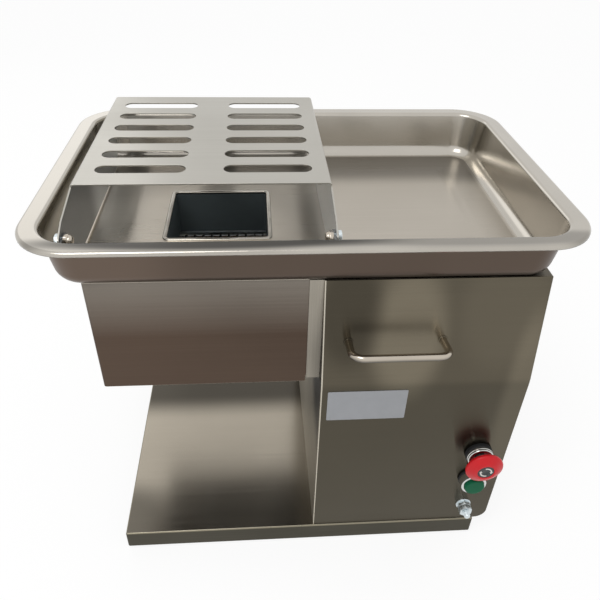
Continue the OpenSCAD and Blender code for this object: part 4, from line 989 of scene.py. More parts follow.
@dataclass
class Housing:
    """Sheet-steel box of the drive: wrap, front panel, rear cover and what is fixed to them."""

    left: float = 12.0
    right: float = 218.0
    front: float = -153.0
    back: float = 153.0
    low: float = 27.0
    bend: float = 250.0
    top: float = 362.0
    lean: float = 18.0
    fold: float = 13.0
    sheet: float = 1.5
    crease: float = 4.0
    # Rounding of the left edge, which carries a painted highlight, mm.
    highlight_edge: float = 1.3
    soft: float = 0.4
    shaft_hole: float = 14.5
    shafts: tuple[Point, Point] = ((-53.0, 282.0), (13.0, 282.0))
    vents: int = 7
    vent: Point = (92.0, 5.0)
    vent_first: float = 138.5
    vent_pitch: float = 14.0
    gland: Point = (166.5, 67.0)
    gland_hole: float = 16.1
    screw_inset: Point = (7.0, 30.0)
    plate: Place = (79.0, 39.0, 0.5)
    plate_corner: float = 1.2
    plate_place: Point = (7.0, 45.5)

    @property
    def lean_turn(self) -> Matrix:
        """Turn of the upper panel about its bend."""
        return Matrix.Rotation(-math.atan2(self.lean, self.top - self.bend), 4, "X")

    def on_front(self, x: float, z: float) -> Matrix:
        """Place on the lower panel, with Z out of it."""
        return Matrix.Translation((x, self.front, z)) @ STAND

    def on_upper(self, x: float, up: float) -> Matrix:
        """Place on the upper panel, `up` above the bend, with Z out of it."""
        lift = Matrix.Translation((0.0, 0.0, up)) @ STAND
        return Matrix.Translation((x, self.front, self.bend)) @ self.lean_turn @ lift

    def on_back(self, x: float, z: float) -> Matrix:
        """Place on the back of the wrap, with Z out of it."""
        return Matrix.Translation((x, self.back, z)) @ Matrix.Rotation(-QUARTER, 4, "X")

    def build(self) -> None:
        """Builds the box and what is fixed to it."""
        self.front_panel()
        self.left_wall()
        self.right_wall()
        self.rear_cover()
        self.cover_screws()
        self.cable_gland()
        self.rating_plate()
        dress_node("top_plate", WALLS, radius=0.3)
        dress_node("housing_bolts", ZINC)

    def outline(self, bm: BMesh) -> None:
        """Draws the box's outline from the front, with its round lower right fold."""
        pen = Pen(bm, self.left, self.low).line(self.right - self.fold, self.low)
        pen.arc(self.right - self.fold, self.low + self.fold, 90)
        pen.line(self.right, self.top).line(self.left, self.top).close()

    def front_panel(self) -> None:
        """Cuts the front panel, folds it at the bend and rounds its left edge, which carries a painted
        highlight.
        """
        bm = bmesh.new()
        self.outline(bm)
        flat = bmesh.ops.contextual_create(bm, geom=bm.edges[:])["faces"]
        cut(bm, flat, (0.0, self.bend, 0.0), (0.0, 1.0, 0.0))
        bmesh.ops.transform(bm, matrix=self.on_front(0.0, 0.0), verts=bm.verts[:])
        self.lean_back(bm)
        crease = [e for e in bm.edges if all(abs(v.co.z - self.bend) < NEAR for v in e.verts)]
        round_edges(bm, crease, self.crease, 5)
        outer = bm.verts[:]
        thicken(bm, (0.0, self.sheet, 0.0))
        bmesh.ops.recalc_face_normals(bm, faces=bm.faces[:])
        # Faces looking left and the rounded left edge take the edge steel, a painted highlight.
        for f in bm.faces:
            f.material_index = int(f.normal.x < -FACING)
        highlight_edge = [e for e in bm.edges
                   if all(v in outer and abs(v.co.x - self.left) < NEAR for v in e.verts)]
        round_edges(bm, highlight_edge, self.highlight_edge, 4, material=1)
        finish_piece(bm, "front_panel_folded", Body.HOUSING, [PANEL, EDGES], ["front_panel"],
                     Edges(radius=self.soft))

    def lean_back(self, bm: BMesh) -> None:
        """Leans what stands in front, above the bend, back to the upper panel's slope."""
        upper = [v for v in bm.verts if v.co.z > self.bend + NEAR and v.co.y < 0]
        bmesh.ops.translate(bm, verts=upper, vec=(0.0, self.lean, 0.0))

    def left_wall(self) -> None:
        """Cuts the wrap's left wall with its shaft holes."""
        bm = bmesh.new()
        back, front, top = self.back, self.front + self.sheet, self.top - self.sheet
        pen = Pen(bm, front, self.low).line(back, self.low).line(back, top)
        pen.line(front + self.lean * (top - self.bend) / (self.top - self.bend), top)
        pen.line(front, self.bend).close()
        for y, z in self.shafts:
            slot_loop(bm, y, z, 2 * self.shaft_hole, 2 * self.shaft_hole)
        fill_outlines(bm)
        thicken(bm, (0.0, 0.0, self.sheet))
        finish_piece(bm, "housing_left_wall", Body.HOUSING, [WALLS], ["housing_wrap"],
                     Edges(radius=self.soft), Matrix.Translation((self.left, 0.0, 0.0)) @ SIDEWAYS)

    def right_wall(self) -> None:
        """Bends the wrap's floor, fold and right wall."""
        bm = bmesh.new()
        pen = Pen(bm, self.left + self.sheet, self.low).line(self.right - self.fold, self.low)
        pen.arc(self.right - self.fold, self.low + self.fold, 90, 12).line(self.right, self.bend)
        pen.line(self.right, self.top - self.sheet)
        draw_out(bm, bm.edges[:], (0.0, 0.0, self.back - self.front - self.sheet))
        bmesh.ops.transform(bm, matrix=Matrix.Translation((0.0, self.back, 0.0)) @ STAND, verts=bm.verts[:])
        self.lean_back(bm)
        bmesh.ops.recalc_face_normals(bm, faces=bm.faces[:])
        bm.normal_update()
        if any(f.normal.x < -FACING for f in bm.faces):
            bmesh.ops.reverse_faces(bm, faces=bm.faces[:])
        finish_piece(bm, "housing_right_wall", Body.HOUSING, [WALLS], [],
                     Edges(wall=self.sheet, radius=self.soft, closed=False))

    def rear_cover(self) -> None:
        """Cuts the rear cover with its vents and the cable's hole."""
        bm = bmesh.new()
        self.outline(bm)
        for i in range(self.vents):
            slot_loop(bm, (self.left + self.right) / 2, self.vent_first + i * self.vent_pitch, *self.vent)
        slot_loop(bm, *self.gland, self.gland_hole, self.gland_hole)
        fill_outlines(bm)
        thicken(bm, (0.0, 0.0, self.sheet))
        finish_piece(bm, "rear_cover_vented", Body.HOUSING, [WALLS], ["rear_cover"],
                     Edges(radius=self.soft), Matrix.Translation((0.0, self.back + self.sheet, 0.0)) @ STAND)

    def cover_screws(self) -> None:
        """Turns the cover's pan-head screws, each with a socket in its head."""
        screw = Turning([
            (0.0, -8.0), (1.6, -8.0), (2.0, -7.4), (2.0, 1.5), (4.0, 1.5), *bead(2.9, 2.6, 1.1, 0, 90, 4),
            (1.5, 3.7), (1.2, 2.2), (0.0, 2.2),
        ], steps=24)
        side, end = self.screw_inset
        heights = (self.low + end, (self.low + self.top) / 2, self.top - end)
        places = [self.on_back(x, z) for x in (self.left + side, self.right - side) for z in heights]
        finish_piece(screw.mesh(*places), "rear_cover_pan_screws", Body.HOUSING, [ZINC],
                     ["rear_cover_screws"])

    def cable_gland(self) -> None:
        """Builds the cable gland: hexagon body, round-edged sleeve and open bore."""
        gland = Turning([
            (4.5, -10.0), (8.0, -10.0), (8.0, 14.0), *bead(6.4, 14.0, 1.5, 0, 90), (4.5, 15.5), (4.5, -10.0),
        ], hexes=[(11.5, 1.5, 7.5)])
        finish_piece(gland.mesh(self.on_back(*self.gland)), "cable_gland_moulded", Body.HOUSING,
                     [NYLON], ["cable_gland"])

    def rating_plate(self) -> None:
        """Cuts the bare rating plate with round corners."""
        bm = bmesh.new()
        block(bm, (0.0, 0.0, 0.0), self.plate)
        upright = [e for e in bm.edges if abs(e.verts[0].co.z - e.verts[1].co.z) > NEAR]
        round_edges(bm, upright, self.plate_corner, 4)
        inset, drop = self.plate_place
        finish_piece(bm, "rating_plate_bare", Body.HOUSING, [FOIL], ["rating_plate"],
                     Edges(radius=0.1), self.on_front(self.left + inset, self.bend - drop))


@dataclass
class CarryHandle:
    """Bent rod on the upper panel with its washers."""

    housing: Housing
    first: float = 24.0
    span: float = 89.0
    up: float = 49.5
    rod: float = 3.6
    reach: float = 28.0
    turn: float = 11.0
    gap: float = 0.05

    def build(self) -> None:
        """Builds the rod and washers."""
        self.bar()
        self.washers()
        dress_node("handle_nuts", ZINC)

    def bar(self) -> None:
        """Draws half the rod out of the panel, bends it to the middle and mirrors it."""
        bm = bmesh.new()
        ring = bmesh.ops.create_circle(bm, segments=28, radius=self.rod)["verts"]
        bmesh.ops.translate(bm, verts=ring, vec=(-self.span / 2, 0.0, self.gap))
        straight, rings = self.reach - self.turn, 3
        for _ in range(rings):
            draw_out(bm, self.rim(bm), (0.0, 0.0, straight / rings))
        bmesh.ops.spin(bm, geom=self.rim(bm), cent=(self.turn - self.span / 2, 0.0, straight + self.gap),
                       axis=(0.0, 1.0, 0.0), angle=QUARTER, steps=10)
        middle = [e for e in bm.edges
                  if len(e.link_faces) == 1 and min(v.co.z for v in e.verts) > self.gap + NEAR]
        draw_out(bm, middle, (self.span / 2 - self.turn, 0.0, 0.0))
        mirror_all(bm, "X")
        bmesh.ops.holes_fill(bm, edges=[e for e in bm.edges if e.is_boundary])
        finish_piece(bm, "carry_handle_bent", Body.HOUSING, [POLISHED], ["carry_handle"],
                     place=self.housing.on_upper(self.housing.left + self.first + self.span / 2, self.up))

    @staticmethod
    def rim(bm: BMesh) -> list[BMEdge]:
        """The open edges at the rod's highest end."""
        high = max(v.co.z for v in bm.verts)
        return [e for e in bm.edges if all(v.co.z > high - NEAR for v in e.verts)]

    def washers(self) -> None:
        """Turns the washer at each leg."""
        washer = Turning([
            (3.65, 0.0), (5.0, 0.0), *bead(4.5, 0.5, 0.5, 0, 90), (3.8, 1.0), (3.65, 0.9), (3.65, 0.0),
        ], steps=40)
        x = self.housing.left + self.first
        places = [self.housing.on_upper(x + along, self.up) for along in (0.0, self.span)]
        finish_piece(washer.mesh(*places), "handle_washers_turned", Body.HOUSING, [PANEL],
                     ["handle_washers"])


@dataclass
class Controls:
    """Emergency stop, start button and earth stud down the right of the panel."""

    housing: Housing
    across: float = 187.0
    stop_height: float = 146.0
    start_height: float = 104.0
    earth_height: float = 55.5
    arrow: Point = (4.9, 6.4)
    arrow_tip: tuple[Point, Point, Point] = ((3.9, 0.0), (7.4, 0.0), (5.65, -2.6))
    arrow_sweep: float = 105.0
    arrow_height: float = 27.0
    ink: float = 0.25

    def build(self) -> None:
        """Builds the three controls."""
        self.gaskets()
        self.stop_collar()
        self.stop_head()
        self.stop_arrows()
        self.start()
        self.earth()
        dress_node("estop_stem", NYLON)
        dress_node("button_nuts", NYLON)
        dress_node("contact_blocks", SWITCH, radius=0.4)

    @property
    def stop(self) -> Matrix:
        """Place of the emergency stop."""
        return self.housing.on_front(self.across, self.stop_height)

    @property
    def go(self) -> Matrix:
        """Place of the start button."""
        return self.housing.on_front(self.across, self.start_height)

    def gaskets(self) -> None:
        """Turns the rubber gaskets behind both buttons."""
        bm = bmesh.new()
        for place, thick in ((self.stop, 5.0), (self.go, 3.0)):
            Turning([
                (11.1, 0.0), (14.3, 0.0), (14.6, 0.4), *bead(13.9, thick - 0.7, 0.7, 0, 90), (11.1, thick),
                (11.1, 0.0),
            ]).add(bm, place)
        finish_piece(bm, "button_gaskets_moulded", Body.HOUSING, [RUBBER], ["button_gaskets"])

    def stop_collar(self) -> None:
        """Turns the emergency stop's chrome collar with a groove round it."""
        collar = Turning([
            (5.05, -18.0), (11.0, -18.0), (11.0, 5.0), (13.4, 5.0), (14.0, 5.6), (14.0, 6.6), (13.5, 7.0),
            (13.5, 7.4), (14.0, 7.8), *bead(12.6, 8.6, 1.4, 0, 90), (7.0, 10.0), (5.05, 9.0), (5.05, -18.0),
        ])
        finish_piece(collar.mesh(self.stop), "estop_collar_turned", Body.HOUSING, [CHROME],
                     ["estop_collar"])

    def stop_head(self) -> None:
        """Moulds the mushroom head and its dark insert."""
        head = Turning([
            (5.06, 15.0), (12.5, 15.0), (14.0, 15.2), (17.6, 18.0), *bead(17.0, 21.0, 3.0, -45, 62, 9),
            (16.6, 24.6), (14.4, 25.85), (12.2, 27.0), (10.6, 27.4), *bead(9.6, 26.7, 0.8, 80, 180, 5),
            (8.8, 26.5), (0.0, 26.5), (0.0, 21.6), (5.06, 21.6), (5.06, 15.0),
        ], steps=72)
        insert = Turning([
            (0.0, 26.5), (8.7, 26.5), *bead(8.2, 26.6, 0.5, 0, 90, 3), (3.0, 27.05), (2.6, 26.8), (0.0, 26.8),
        ])
        finish_piece(head.mesh(self.stop), "estop_mushroom_head", Body.KNOB, [RED],
                     ["estop_head"])
        finish_piece(insert.mesh(self.stop), "estop_centre_insert", Body.KNOB, [INSERT], [])

    def stop_arrows(self) -> None:
        """Draws the two twist arrows on the head's insert."""
        bm = bmesh.new()
        height = self.arrow_height
        for half in (0.0, math.pi):
            turn = Matrix.Rotation(half, 4, "Z")
            ends = [bm.verts.new(turn @ Vector((r, 0.0, height))) for r in self.arrow]
            bmesh.ops.spin(bm, geom=[*ends, bm.edges.new(ends)], cent=(0.0, 0.0, height), axis=UP,
                           angle=math.radians(self.arrow_sweep), steps=14)
            tip = [bm.verts.new(turn @ Vector((x, y, height))) for x, y in self.arrow_tip]
            bmesh.ops.contextual_create(bm, geom=tip)
        thicken(bm, (0.0, 0.0, self.ink))
        finish_piece(bm, "estop_twist_arrows", Body.KNOB, [WHITE], [], place=self.stop)

    def start(self) -> None:
        """Turns the start button's chrome bezel and moulds its cap."""
        bezel = Turning([
            (5.05, -18.0), (11.0, -18.0), (11.0, 3.0), (13.5, 3.0), (14.0, 3.5),
            *bead(12.8, 10.8, 1.2, 0, 90), (11.4, 12.0), (10.86, 11.5), (10.86, 4.0), (5.05, 4.0),
            (5.05, -18.0),
        ])
        cap = Turning([
            (0.0, -19.0), (5.0, -19.0), (5.0, 8.0), (10.8, 8.0), *bead(9.8, 14.3, 1.0, 0, 75), (8.0, 15.4),
            (0.0, 15.5),
        ])
        finish_piece(bezel.mesh(self.go), "start_bezel_turned", Body.HOUSING, [CHROME],
                     ["start_bezel"])
        finish_piece(cap.mesh(self.go), "start_button_cap", Body.START, [GREEN],
                     ["start_button"])

    def earth(self) -> None:
        """Turns the threaded earth stud with its washer and nuts."""
        place = self.housing.on_front(self.across, self.earth_height)
        thread = [(4.0 if i % 2 else 3.5, -9.5 + 0.5 * i) for i in range(46)]
        tip = [(3.5 if i % 2 else 3.1, 13.3 + 0.5 * i) for i in range(10)]
        stud = Turning([(0.0, -9.5), *thread, *tip, (2.8, 19.0), (0.0, 19.0)], steps=28)
        washer = Turning([
            (4.06, 0.0), (8.4, 0.0), *bead(8.0, 1.0, 0.6, 0, 90, 4), (4.4, 1.6), (4.06, 1.3), (4.06, 0.0),
        ])
        nuts = Turning(hexes=[(7.5, 1.6, 6.7), (7.5, 7.1, 12.2), (7.5, -6.6, -1.5)])
        for part, name, node in ((stud, "earth_stud_threaded", "earth_stud"),
                                 (washer, "earth_washer_pressed", "earth_washer"),
                                 (nuts, "earth_nuts_chamfered", "earth_nuts")):
            finish_piece(part.mesh(place), name, Body.HOUSING, [ZINC], [node])


@dataclass
class LoadingTray:
    """Drawn tray on top of the box, with the feed throat in its floor."""

    left: float = -243.0
    front: float = -164.5
    width: float = 485.0
    depth: float = 325.0
    rim: float = 412.0
    height: float = 50.0
    sheet: float = 1.5
    rim_width: float = 18.0
    rim_drop: float = 4.0
    roll: float = 3.0
    lip: float = 4.0
    slope: float = 10.0
    fillet: float = 14.0
    floor_corner: float = 12.0
    gutter: float = 24.0
    step: float = 3.0
    shoulder: float = 15.0
    feed: tuple[float, float, float, float] = (-131.0, -67.5, -36.0, 27.5)
    throat_low: float = 320.0
    throat_lip: float = 4.5
    throat_rise: float = 1.5
    throat_rolls: Point = (1.2, 1.6)
    throat_bright: float = 3.0
    throat_corner: float = 3.0
    hole_margin: float = 1.8
    shoulder_soft: float = 3.0
    # Upward part of the normal from which a face belongs to the floor.
    level: float = 0.95

    @property
    def middle(self) -> Point:
        """Middle of the tray."""
        return self.left + self.width / 2, self.front + self.depth / 2

    def section(self) -> list[Point]:
        """Section from the rim's outer edge to the floor, as (distance in, height)."""
        slope = math.radians(self.slope)
        lip_x = self.rim_width - self.lip
        wall_x, wall_z = lip_x + self.lip * math.cos(slope), -self.lip + self.lip * math.sin(slope)
        fillet_z = self.sheet + self.fillet - self.height
        run = (wall_z - fillet_z + self.fillet * math.sin(slope)) / math.cos(slope)
        fillet_x = wall_x + run * math.sin(slope) + self.fillet * math.cos(slope)
        chain = [
            (0.0, -self.rim_drop), *bead(self.roll, -self.roll, self.roll, 180, 90, 8),
            *bead(lip_x, -self.lip, self.lip, 90, self.slope, 7),
            *bead(fillet_x, fillet_z, self.fillet, 180 + self.slope, 270, 10),
        ]
        return [(d, self.rim + h) for d, h in chain]

    def build(self) -> None:
        """Builds the tray and its throat."""
        self.tray()
        self.throat()

    def tray(self) -> None:
        """Draws the tray: rim and walls round, floor with gutter, raised middle and feed hole."""
        section = self.section()
        floor_in, floor = section[-1]
        cx, cy = self.middle
        bm = bmesh.new()
        round_frame(bm, section, self.width / 2, self.depth / 2, floor_in + self.floor_corner)
        inner = [e for e in bm.edges
                 if len(e.link_faces) == 1 and all(abs(v.co.z - floor) < NEAR for v in e.verts)]
        bmesh.ops.contextual_create(bm, geom=inner)
        raised_x, raised_y = (size / 2 - floor_in - self.gutter for size in (self.width, self.depth))
        for x, y in ((raised_x, 0.0), (-raised_x, 0.0), (0.0, raised_y), (0.0, -raised_y)):
            cut(bm, flat_at(bm, floor), (x, y, floor), (x, y, 0.0))
        raised = [f for f in flat_at(bm, floor)
                  if abs(f.calc_center_median().x) < raised_x and abs(f.calc_center_median().y) < raised_y]
        bmesh.ops.inset_region(bm, faces=raised, thickness=self.shoulder, use_even_offset=True)
        bmesh.ops.translate(bm, verts=list({v for f in raised for v in f.verts}), vec=(0.0, 0.0, self.step))
        round_edges(bm, [e for f in raised for e in f.edges], self.shoulder_soft, 3)
        middle = floor + self.step
        x0, y0, x1, y1 = self.feed
        x0, x1 = x0 - cx - self.hole_margin, x1 - cx + self.hole_margin
        y0, y1 = y0 - cy - self.hole_margin, y1 - cy + self.hole_margin
        for x in (x0, x1):
            cut(bm, flat_at(bm, middle), (x, 0.0, 0.0), (1.0, 0.0, 0.0))
        for y in (y0, y1):
            cut(bm, flat_at(bm, middle), (0.0, y, 0.0), (0.0, 1.0, 0.0))
        hole = [f for f in flat_at(bm, middle)
                if x0 < f.calc_center_median().x < x1 and y0 < f.calc_center_median().y < y1]
        bmesh.ops.delete(bm, geom=hole, context="FACES")
        face_up(bm)
        for f in bm.faces:
            on_floor = f.calc_center_median().z < middle + NEAR and f.normal.z > self.level
            f.material_index = 2 if on_floor else 0
        # The outer face takes the darker copy of the tray's steel, painted shade.
        finish_piece(bm, "loading_tray_drawn", Body.TRAY,
                     [TRAY_IN, TRAY_OUT, TRAY_FLOOR, TRAY_OUT], ["tray"],
                     Edges(wall=self.sheet, outside=1, closed=False), Matrix.Translation((cx, cy, 0.0)))

    def throat(self) -> None:
        """Draws the feed throat: a rounded lip on the floor and walls below it, painted dark as shade."""
        x0, y0, x1, y1 = self.feed
        floor = self.rim - self.height + self.sheet + self.step
        top, dark = floor + self.throat_rise, floor + self.throat_rise - self.throat_bright
        lip, wall = self.throat_lip, self.throat_lip - self.sheet
        outer, inner = self.throat_rolls
        chain = [
            (0.0, floor), *bead(outer, top - outer, outer, 180, 90, 4),
            *bead(lip - inner, top - inner, inner, 90, 0, 5), (lip, dark), (lip, self.throat_low),
            (wall, self.throat_low), (wall, top - inner), (0.0, floor),
        ]
        bm = bmesh.new()
        round_frame(bm, chain, (x1 - x0) / 2 + lip, (y1 - y0) / 2 + lip, lip + self.throat_corner, 8)
        # Faces below the lip take the dark walls, painted shade.
        for f in bm.faces:
            f.material_index = int(f.calc_center_median().z < dark)
        finish_piece(bm, "feed_throat_lipped", Body.TRAY, [THROAT, THROAT_IN], ["feed_throat"],
                     place=Matrix.Translation(((x0 + x1) / 2, (y0 + y1) / 2, 0.0)))


@dataclass
class HandGuard:
    """Slotted guard over the feed opening, hinged on two bolts at the tray's front."""

    left: float = -206.0
    right: float = 21.0
    front: float = -80.5
    back: float = 149.5
    top: float = 429.0
    sheet: float = 1.5
    fold: float = 3.0
    hinge: Point = (-131.5, 404.0)
    ear: float = 8.0
    bolt: float = 3.0
    slot: Point = (81.0, 17.0)
    rows: int = 6
    pitch: float = 34.0
    first: float = 31.0
    column: float = 57.5
    soft: float = 0.25
    # Flange: turn of its ear, drop of its nose, end over the tray's back rim, foot in the tray and its toe.
    ear_turn: float = 127.0
    nose: float = 13.0
    rest: Point = (134.5, 413.5)
    foot: Point = (98.8, 366.8)
    toe: float = 12.0
    # Hinge: play of the bolts, radius of their heads and nuts, and where these stand.
    play: float = 0.1
    spanner: float = 5.7
    head_gap: float = 0.3
    nut_inset: float = 3.8

    def build(self) -> None:
        """Builds the guard and its hinge."""
        self.sheet_metal()
        self.bolts()
        self.cap_nuts()
        dress_node("guard_brackets", PLAIN, radius=0.3)

    def sheet_metal(self) -> None:
        """Cuts the slotted top, folds both sides down and adds the flanges with their hinge ears."""
        bm = bmesh.new()
        middle, fold = (self.left + self.right) / 2, self.fold
        half = (self.right - self.left) / 2
        pen = Pen(bm, fold - half, self.front).line(half - fold, self.front).line(half - fold, self.back)
        pen.line(fold - half, self.back).close()
        for side in (-1, 1):
            for row in range(self.rows):
                slot_loop(bm, side * self.column, self.front + self.first + row * self.pitch, *self.slot)
        fill_outlines(bm)
        bmesh.ops.translate(bm, verts=bm.verts[:], vec=(0.0, 0.0, self.top))
        for side in (-1, 1):
            end_x = side * (half - fold)
            end = [e for e in bm.edges if all(abs(v.co.x - end_x) < NEAR for v in e.verts)]
            bmesh.ops.spin(bm, geom=[*end, *end[0].verts], cent=(end_x, 0.0, self.top - fold),
                           axis=(0.0, side, 0.0), angle=QUARTER, steps=5)
            self.flange(bm, side * half)
        bmesh.ops.remove_doubles(bm, verts=bm.verts[:], dist=NEAR)
        face_up(bm)
        # The inner face takes the lighter copy of the guard's steel, painted light.
        finish_piece(bm, "hand_guard_folded", Body.GUARD, [GUARD, GUARD_IN], ["guard"],
                     Edges(wall=self.sheet, radius=self.soft, outside=1, closed=False),
                     Matrix.Translation((middle, 0.0, 0.0)))

    def flange(self, bm: BMesh, x: float) -> None:
        """Cuts one side flange with its ear and bolt hole.

        Args:
            bm: mesh to add to.
            x: the flange's outer face.
        """
        y, z = self.hinge
        fold, (rest_y, rest_z), (foot_y, foot_z) = self.top - self.fold, self.rest, self.foot
        part = bmesh.new()
        pen = Pen(part, y, z - self.ear).arc(y, z, -self.ear_turn, 14)
        pen.line(y + self.ear, self.top - self.nose)
        pen.line(self.front, fold).line(self.back, fold).line(self.back, rest_z).line(rest_y, rest_z)
        pen.line(foot_y, foot_z).line(y + self.ear + self.toe, foot_z).close()
        hole = 2 * self.bolt + self.play
        slot_loop(part, y, z, hole, hole)
        fill_outlines(part)
        bmesh.ops.transform(part, matrix=Matrix.Translation((x, 0.0, 0.0)) @ SIDEWAYS, verts=part.verts[:])
        kept = bpy.data.meshes.new("flange")
        part.to_mesh(kept)
        part.free()
        bm.from_mesh(kept)
        bpy.data.meshes.remove(kept)

    def place(self, x: float, side: int) -> Matrix:
        """Place on the hinge line, with Z to the left for -1 or the right for 1."""
        return Matrix.Translation((x, *self.hinge)) @ Matrix.Rotation(side * QUARTER, 4, "Y")

    def bolts(self) -> None:
        """Builds the hinge bolts, heads outside the flanges."""
        bolt = Turning([(0.0, -9.0), (self.bolt, -9.0), (self.bolt, 0.2), (0.0, 0.2)],
                       hexes=[(self.spanner, 0.0, 3.0)], steps=24)
        places = self.place(self.left - self.head_gap, -1), self.place(self.right + self.head_gap, 1)
        finish_piece(bolt.mesh(*places), "guard_hinge_bolts", Body.TRAY, [ZINC], ["guard_bolts"])

    def cap_nuts(self) -> None:
        """Builds the domed cap nuts inside the brackets."""
        nut = Turning([(0.0, 3.2), (4.65, 3.2), *bead(1.65, 4.0, 3.0, 0, 90, 7), (0.0, 7.0)],
                      hexes=[(self.spanner, 0.0, 3.5)], steps=32)
        places = self.place(self.left + self.nut_inset, 1), self.place(self.right - self.nut_inset, -1)
        finish_piece(nut.mesh(*places), "guard_cap_nuts", Body.TRAY, [POLISHED], ["guard_nuts"])


@dataclass
class DischargeHood:
    """Three-sided hood round the blades, held in two guides on the housing."""

    left: float = -198.0
    right: float = 9.0
    front: float = -131.5
    back: float = 91.5
    low: float = 238.7
    high: float = 361.7
    sheet: float = 1.5
    fold: float = 3.0
    soft: float = 0.4
    notch: Point = (10.3, 8.0)

    def build(self) -> None:
        """Builds the hood and dresses its guides."""
        self.hood()
        dress_node("hood_guides", GUIDES, radius=0.3)

    def hood(self) -> None:
        """Folds the hood from one sheet and notches it for the guides' feet."""
        bm = bmesh.new()
        block(bm, (self.left, self.front, self.low), (self.right, self.back, self.high))
        bm.normal_update()
        ends = [f for f in bm.faces if abs(f.normal.z) > FACING or f.normal.x > FACING]
        bmesh.ops.delete(bm, geom=ends, context="FACES_ONLY")
        loose = [e for e in bm.edges if not e.link_faces]
        bmesh.ops.delete(bm, geom=loose, context="EDGES")
        round_edges(bm, [e for e in bm.edges if len(e.link_faces) == 2], self.fold, 5)
        notch_x, notch_z = self.right - self.notch[0], self.low + self.notch[1]
        cut(bm, bm.faces[:], (notch_x, 0.0, 0.0), (1.0, 0.0, 0.0))
        cut(bm, bm.faces[:], (0.0, 0.0, notch_z), UP)
        bm.normal_update()
        corner = [f for f in bm.faces
                  if f.calc_center_median().x > notch_x and f.calc_center_median().z < notch_z]
        bmesh.ops.delete(bm, geom=corner, context="FACES")
        if any(f.normal.x > FACING for f in bm.faces):
            bmesh.ops.reverse_faces(bm, faces=bm.faces[:])
        # Its rounded edges take the edge steel, a painted highlight.
        finish_piece(bm, "discharge_hood_folded", Body.HOOD, [HOOD, EDGES], ["hood"],
                     Edges(wall=self.sheet, radius=self.soft, shine=1, closed=False))


@dataclass
class Works:
    """Drive and blades inside, which keep their solids."""

    finishes: tuple[tuple[Finish, tuple[str, ...]], ...] = (
        (IRON, ("gear_plate", "bearing_flanges", "gearbox", "front_gear", "rear_gear", "drive_pinion")),
        (PAINT, ("motor",)),
        (PLAIN, ("plate_standoffs", "shaft_bearings", "front_shaft", "rear_shaft", "front_shaft_nut",
                 "rear_shaft_nut", "front_spacers", "rear_spacers", "run_capacitor")),
        (BLADES, ("front_blades", "rear_blades", "cassette_left_plate", "cassette_right_plate", "front_comb",
                  "rear_comb")),
        (ZINC, ("cassette_studs",)),
        (BRONZE, ("cassette_bushes",)),
        (RUBBER, ("shaft_seals",)),
        (NYLON, ("cassette_knobs", "gland_nut", "contactor")),
    )

    def build(self) -> None:
        """Gives each inner node its finish."""
        for finish, nodes in self.finishes:
            for node in nodes:
                dress_node(node, finish)


@dataclass(frozen=True)
class Lamp:
    """One soft box light, in metres and watts."""

    name: str
    place: Place
    size: float
    power: float
    aim: Place = (0.0, 0.0, 0.25)

    def build(self) -> None:
        """Hangs the lamp, aimed at the middle of the machine."""
        data = bpy.data.lights.new(self.name, "AREA")
        data.shape = "SQUARE"
        data.size = self.size
        data.energy = self.power
        lamp = bpy.data.objects.new(self.name, data)
        lamp.location = self.place
        ahead = Vector(self.aim) - Vector(self.place)
        lamp.rotation_euler = ahead.to_track_quat("-Z", "Y").to_euler()
        bpy.context.scene.collection.objects.link(lamp)


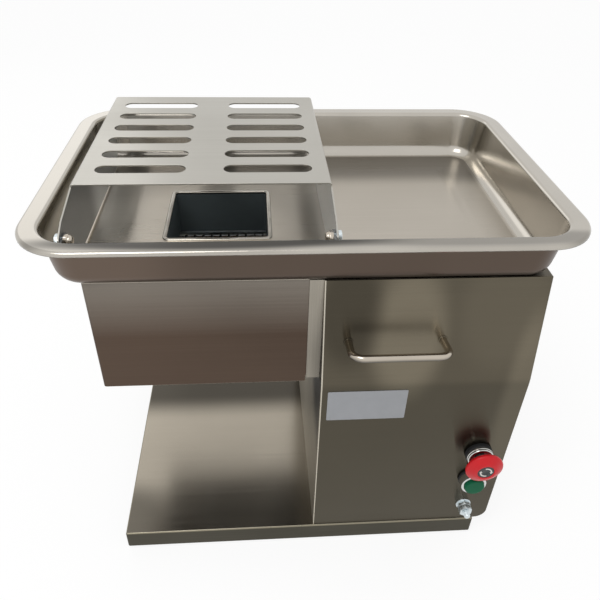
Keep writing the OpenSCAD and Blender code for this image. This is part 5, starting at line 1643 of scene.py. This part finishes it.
@dataclass(frozen=True)
class Studio:
    """Pale floor, white surroundings, soft lamps and the camera at the photograph's angle.

    Attributes:
        place: the camera's place, mm.
        pitch: how far it looks down, degrees.
        yaw: how far it looks to the right, degrees.
        roll: how far it is tipped, degrees.
        lens: its focal length, mm.
        sensor: width of its picture, mm.
        clip: nearest and farthest distance that it sees, m.
        floor_half: half the floor's width, m.
        light: strength of the surroundings as light; they are 1 to the eye.
        lamps: the soft lamps.
    """

    place: Place = (-46.47, -569.18, 663.02)
    pitch: float = 36.41
    yaw: float = 4.89
    roll: float = 1.73
    lens: float = 36.509
    sensor: float = 36.0
    clip: Point = (0.01, 50.0)
    floor_half: float = 8.0
    light: float = 0.62
    lamps: tuple[Lamp, ...] = (
        Lamp("window", (-0.8, 1.6, 1.15), 0.7, 0.9),
        Lamp("ceiling", (-0.6, -0.9, 1.9), 0.9, 10.0),
    )

    def build(self) -> None:
        """Sets the studio up."""
        bpy.context.scene.view_settings.view_transform = "Standard"
        self.floor()
        self.surroundings()
        for lamp in self.lamps:
            lamp.build()
        self.camera()

    def floor(self) -> None:
        """Lays the paper floor."""
        bm = bmesh.new()
        bmesh.ops.create_grid(bm, x_segments=1, y_segments=1, size=self.floor_half)
        mesh = bpy.data.meshes.new("floor")
        bm.to_mesh(mesh)
        bm.free()
        mesh.materials.append(PAPER.material())
        floor = bpy.data.objects.new("floor", mesh)
        bpy.context.scene.collection.objects.link(floor)

    def surroundings(self) -> None:
        """Makes the surroundings white to the eye and to metal, and a little dimmer as light."""
        world = bpy.data.worlds.new("studio")
        bpy.context.scene.world = world
        world.use_nodes = True
        tree = world.node_tree
        tree.nodes.clear()
        level = put(tree, "ShaderNodeMapRange", {
            "Value": seen_rays(tree), "To Min": self.light, "To Max": 1.0,
        })
        sky = put(tree, "ShaderNodeBackground", {"Color": linear("#ffffff"), "Strength": level.outputs[0]})
        put(tree, "ShaderNodeOutputWorld", {"Surface": sky.outputs[0]})

    def camera(self) -> None:
        """Places the camera that was fitted to the photograph's straight edges."""
        down, side, tilt = (math.radians(a) for a in (self.pitch, self.yaw, self.roll))
        ahead = Vector((math.sin(side) * math.cos(down), math.cos(side) * math.cos(down), -math.sin(down)))
        right = Vector((math.cos(side), -math.sin(side), 0.0))
        up = right.cross(ahead)
        across = right * math.cos(tilt) + up * math.sin(tilt)
        over = up * math.cos(tilt) - right * math.sin(tilt)
        data = bpy.data.cameras.new("photo_camera")
        data.lens = self.lens
        data.sensor_width = self.sensor
        data.clip_start, data.clip_end = self.clip
        camera = bpy.data.objects.new("photo_camera", data)
        turn = Matrix((across, over, -ahead)).transposed().to_4x4()
        camera.matrix_world = Matrix.Translation(Vector(self.place) * MM) @ turn
        bpy.context.scene.collection.objects.link(camera)
        bpy.context.scene.camera = camera


def main() -> None:
    """Builds each sub-assembly in order, then the studio."""
    logging.basicConfig(level=logging.INFO, format="%(name)s: %(message)s")
    housing = Housing()
    assemblies = (
        BasePan(), housing, CarryHandle(housing), Controls(housing), LoadingTray(), HandGuard(),
        DischargeHood(), Works(), Studio(),
    )
    for assembly in assemblies:
        assembly.build()
        LOG.info("built %s", type(assembly).__name__)


if __name__ == "__main__":
    main()
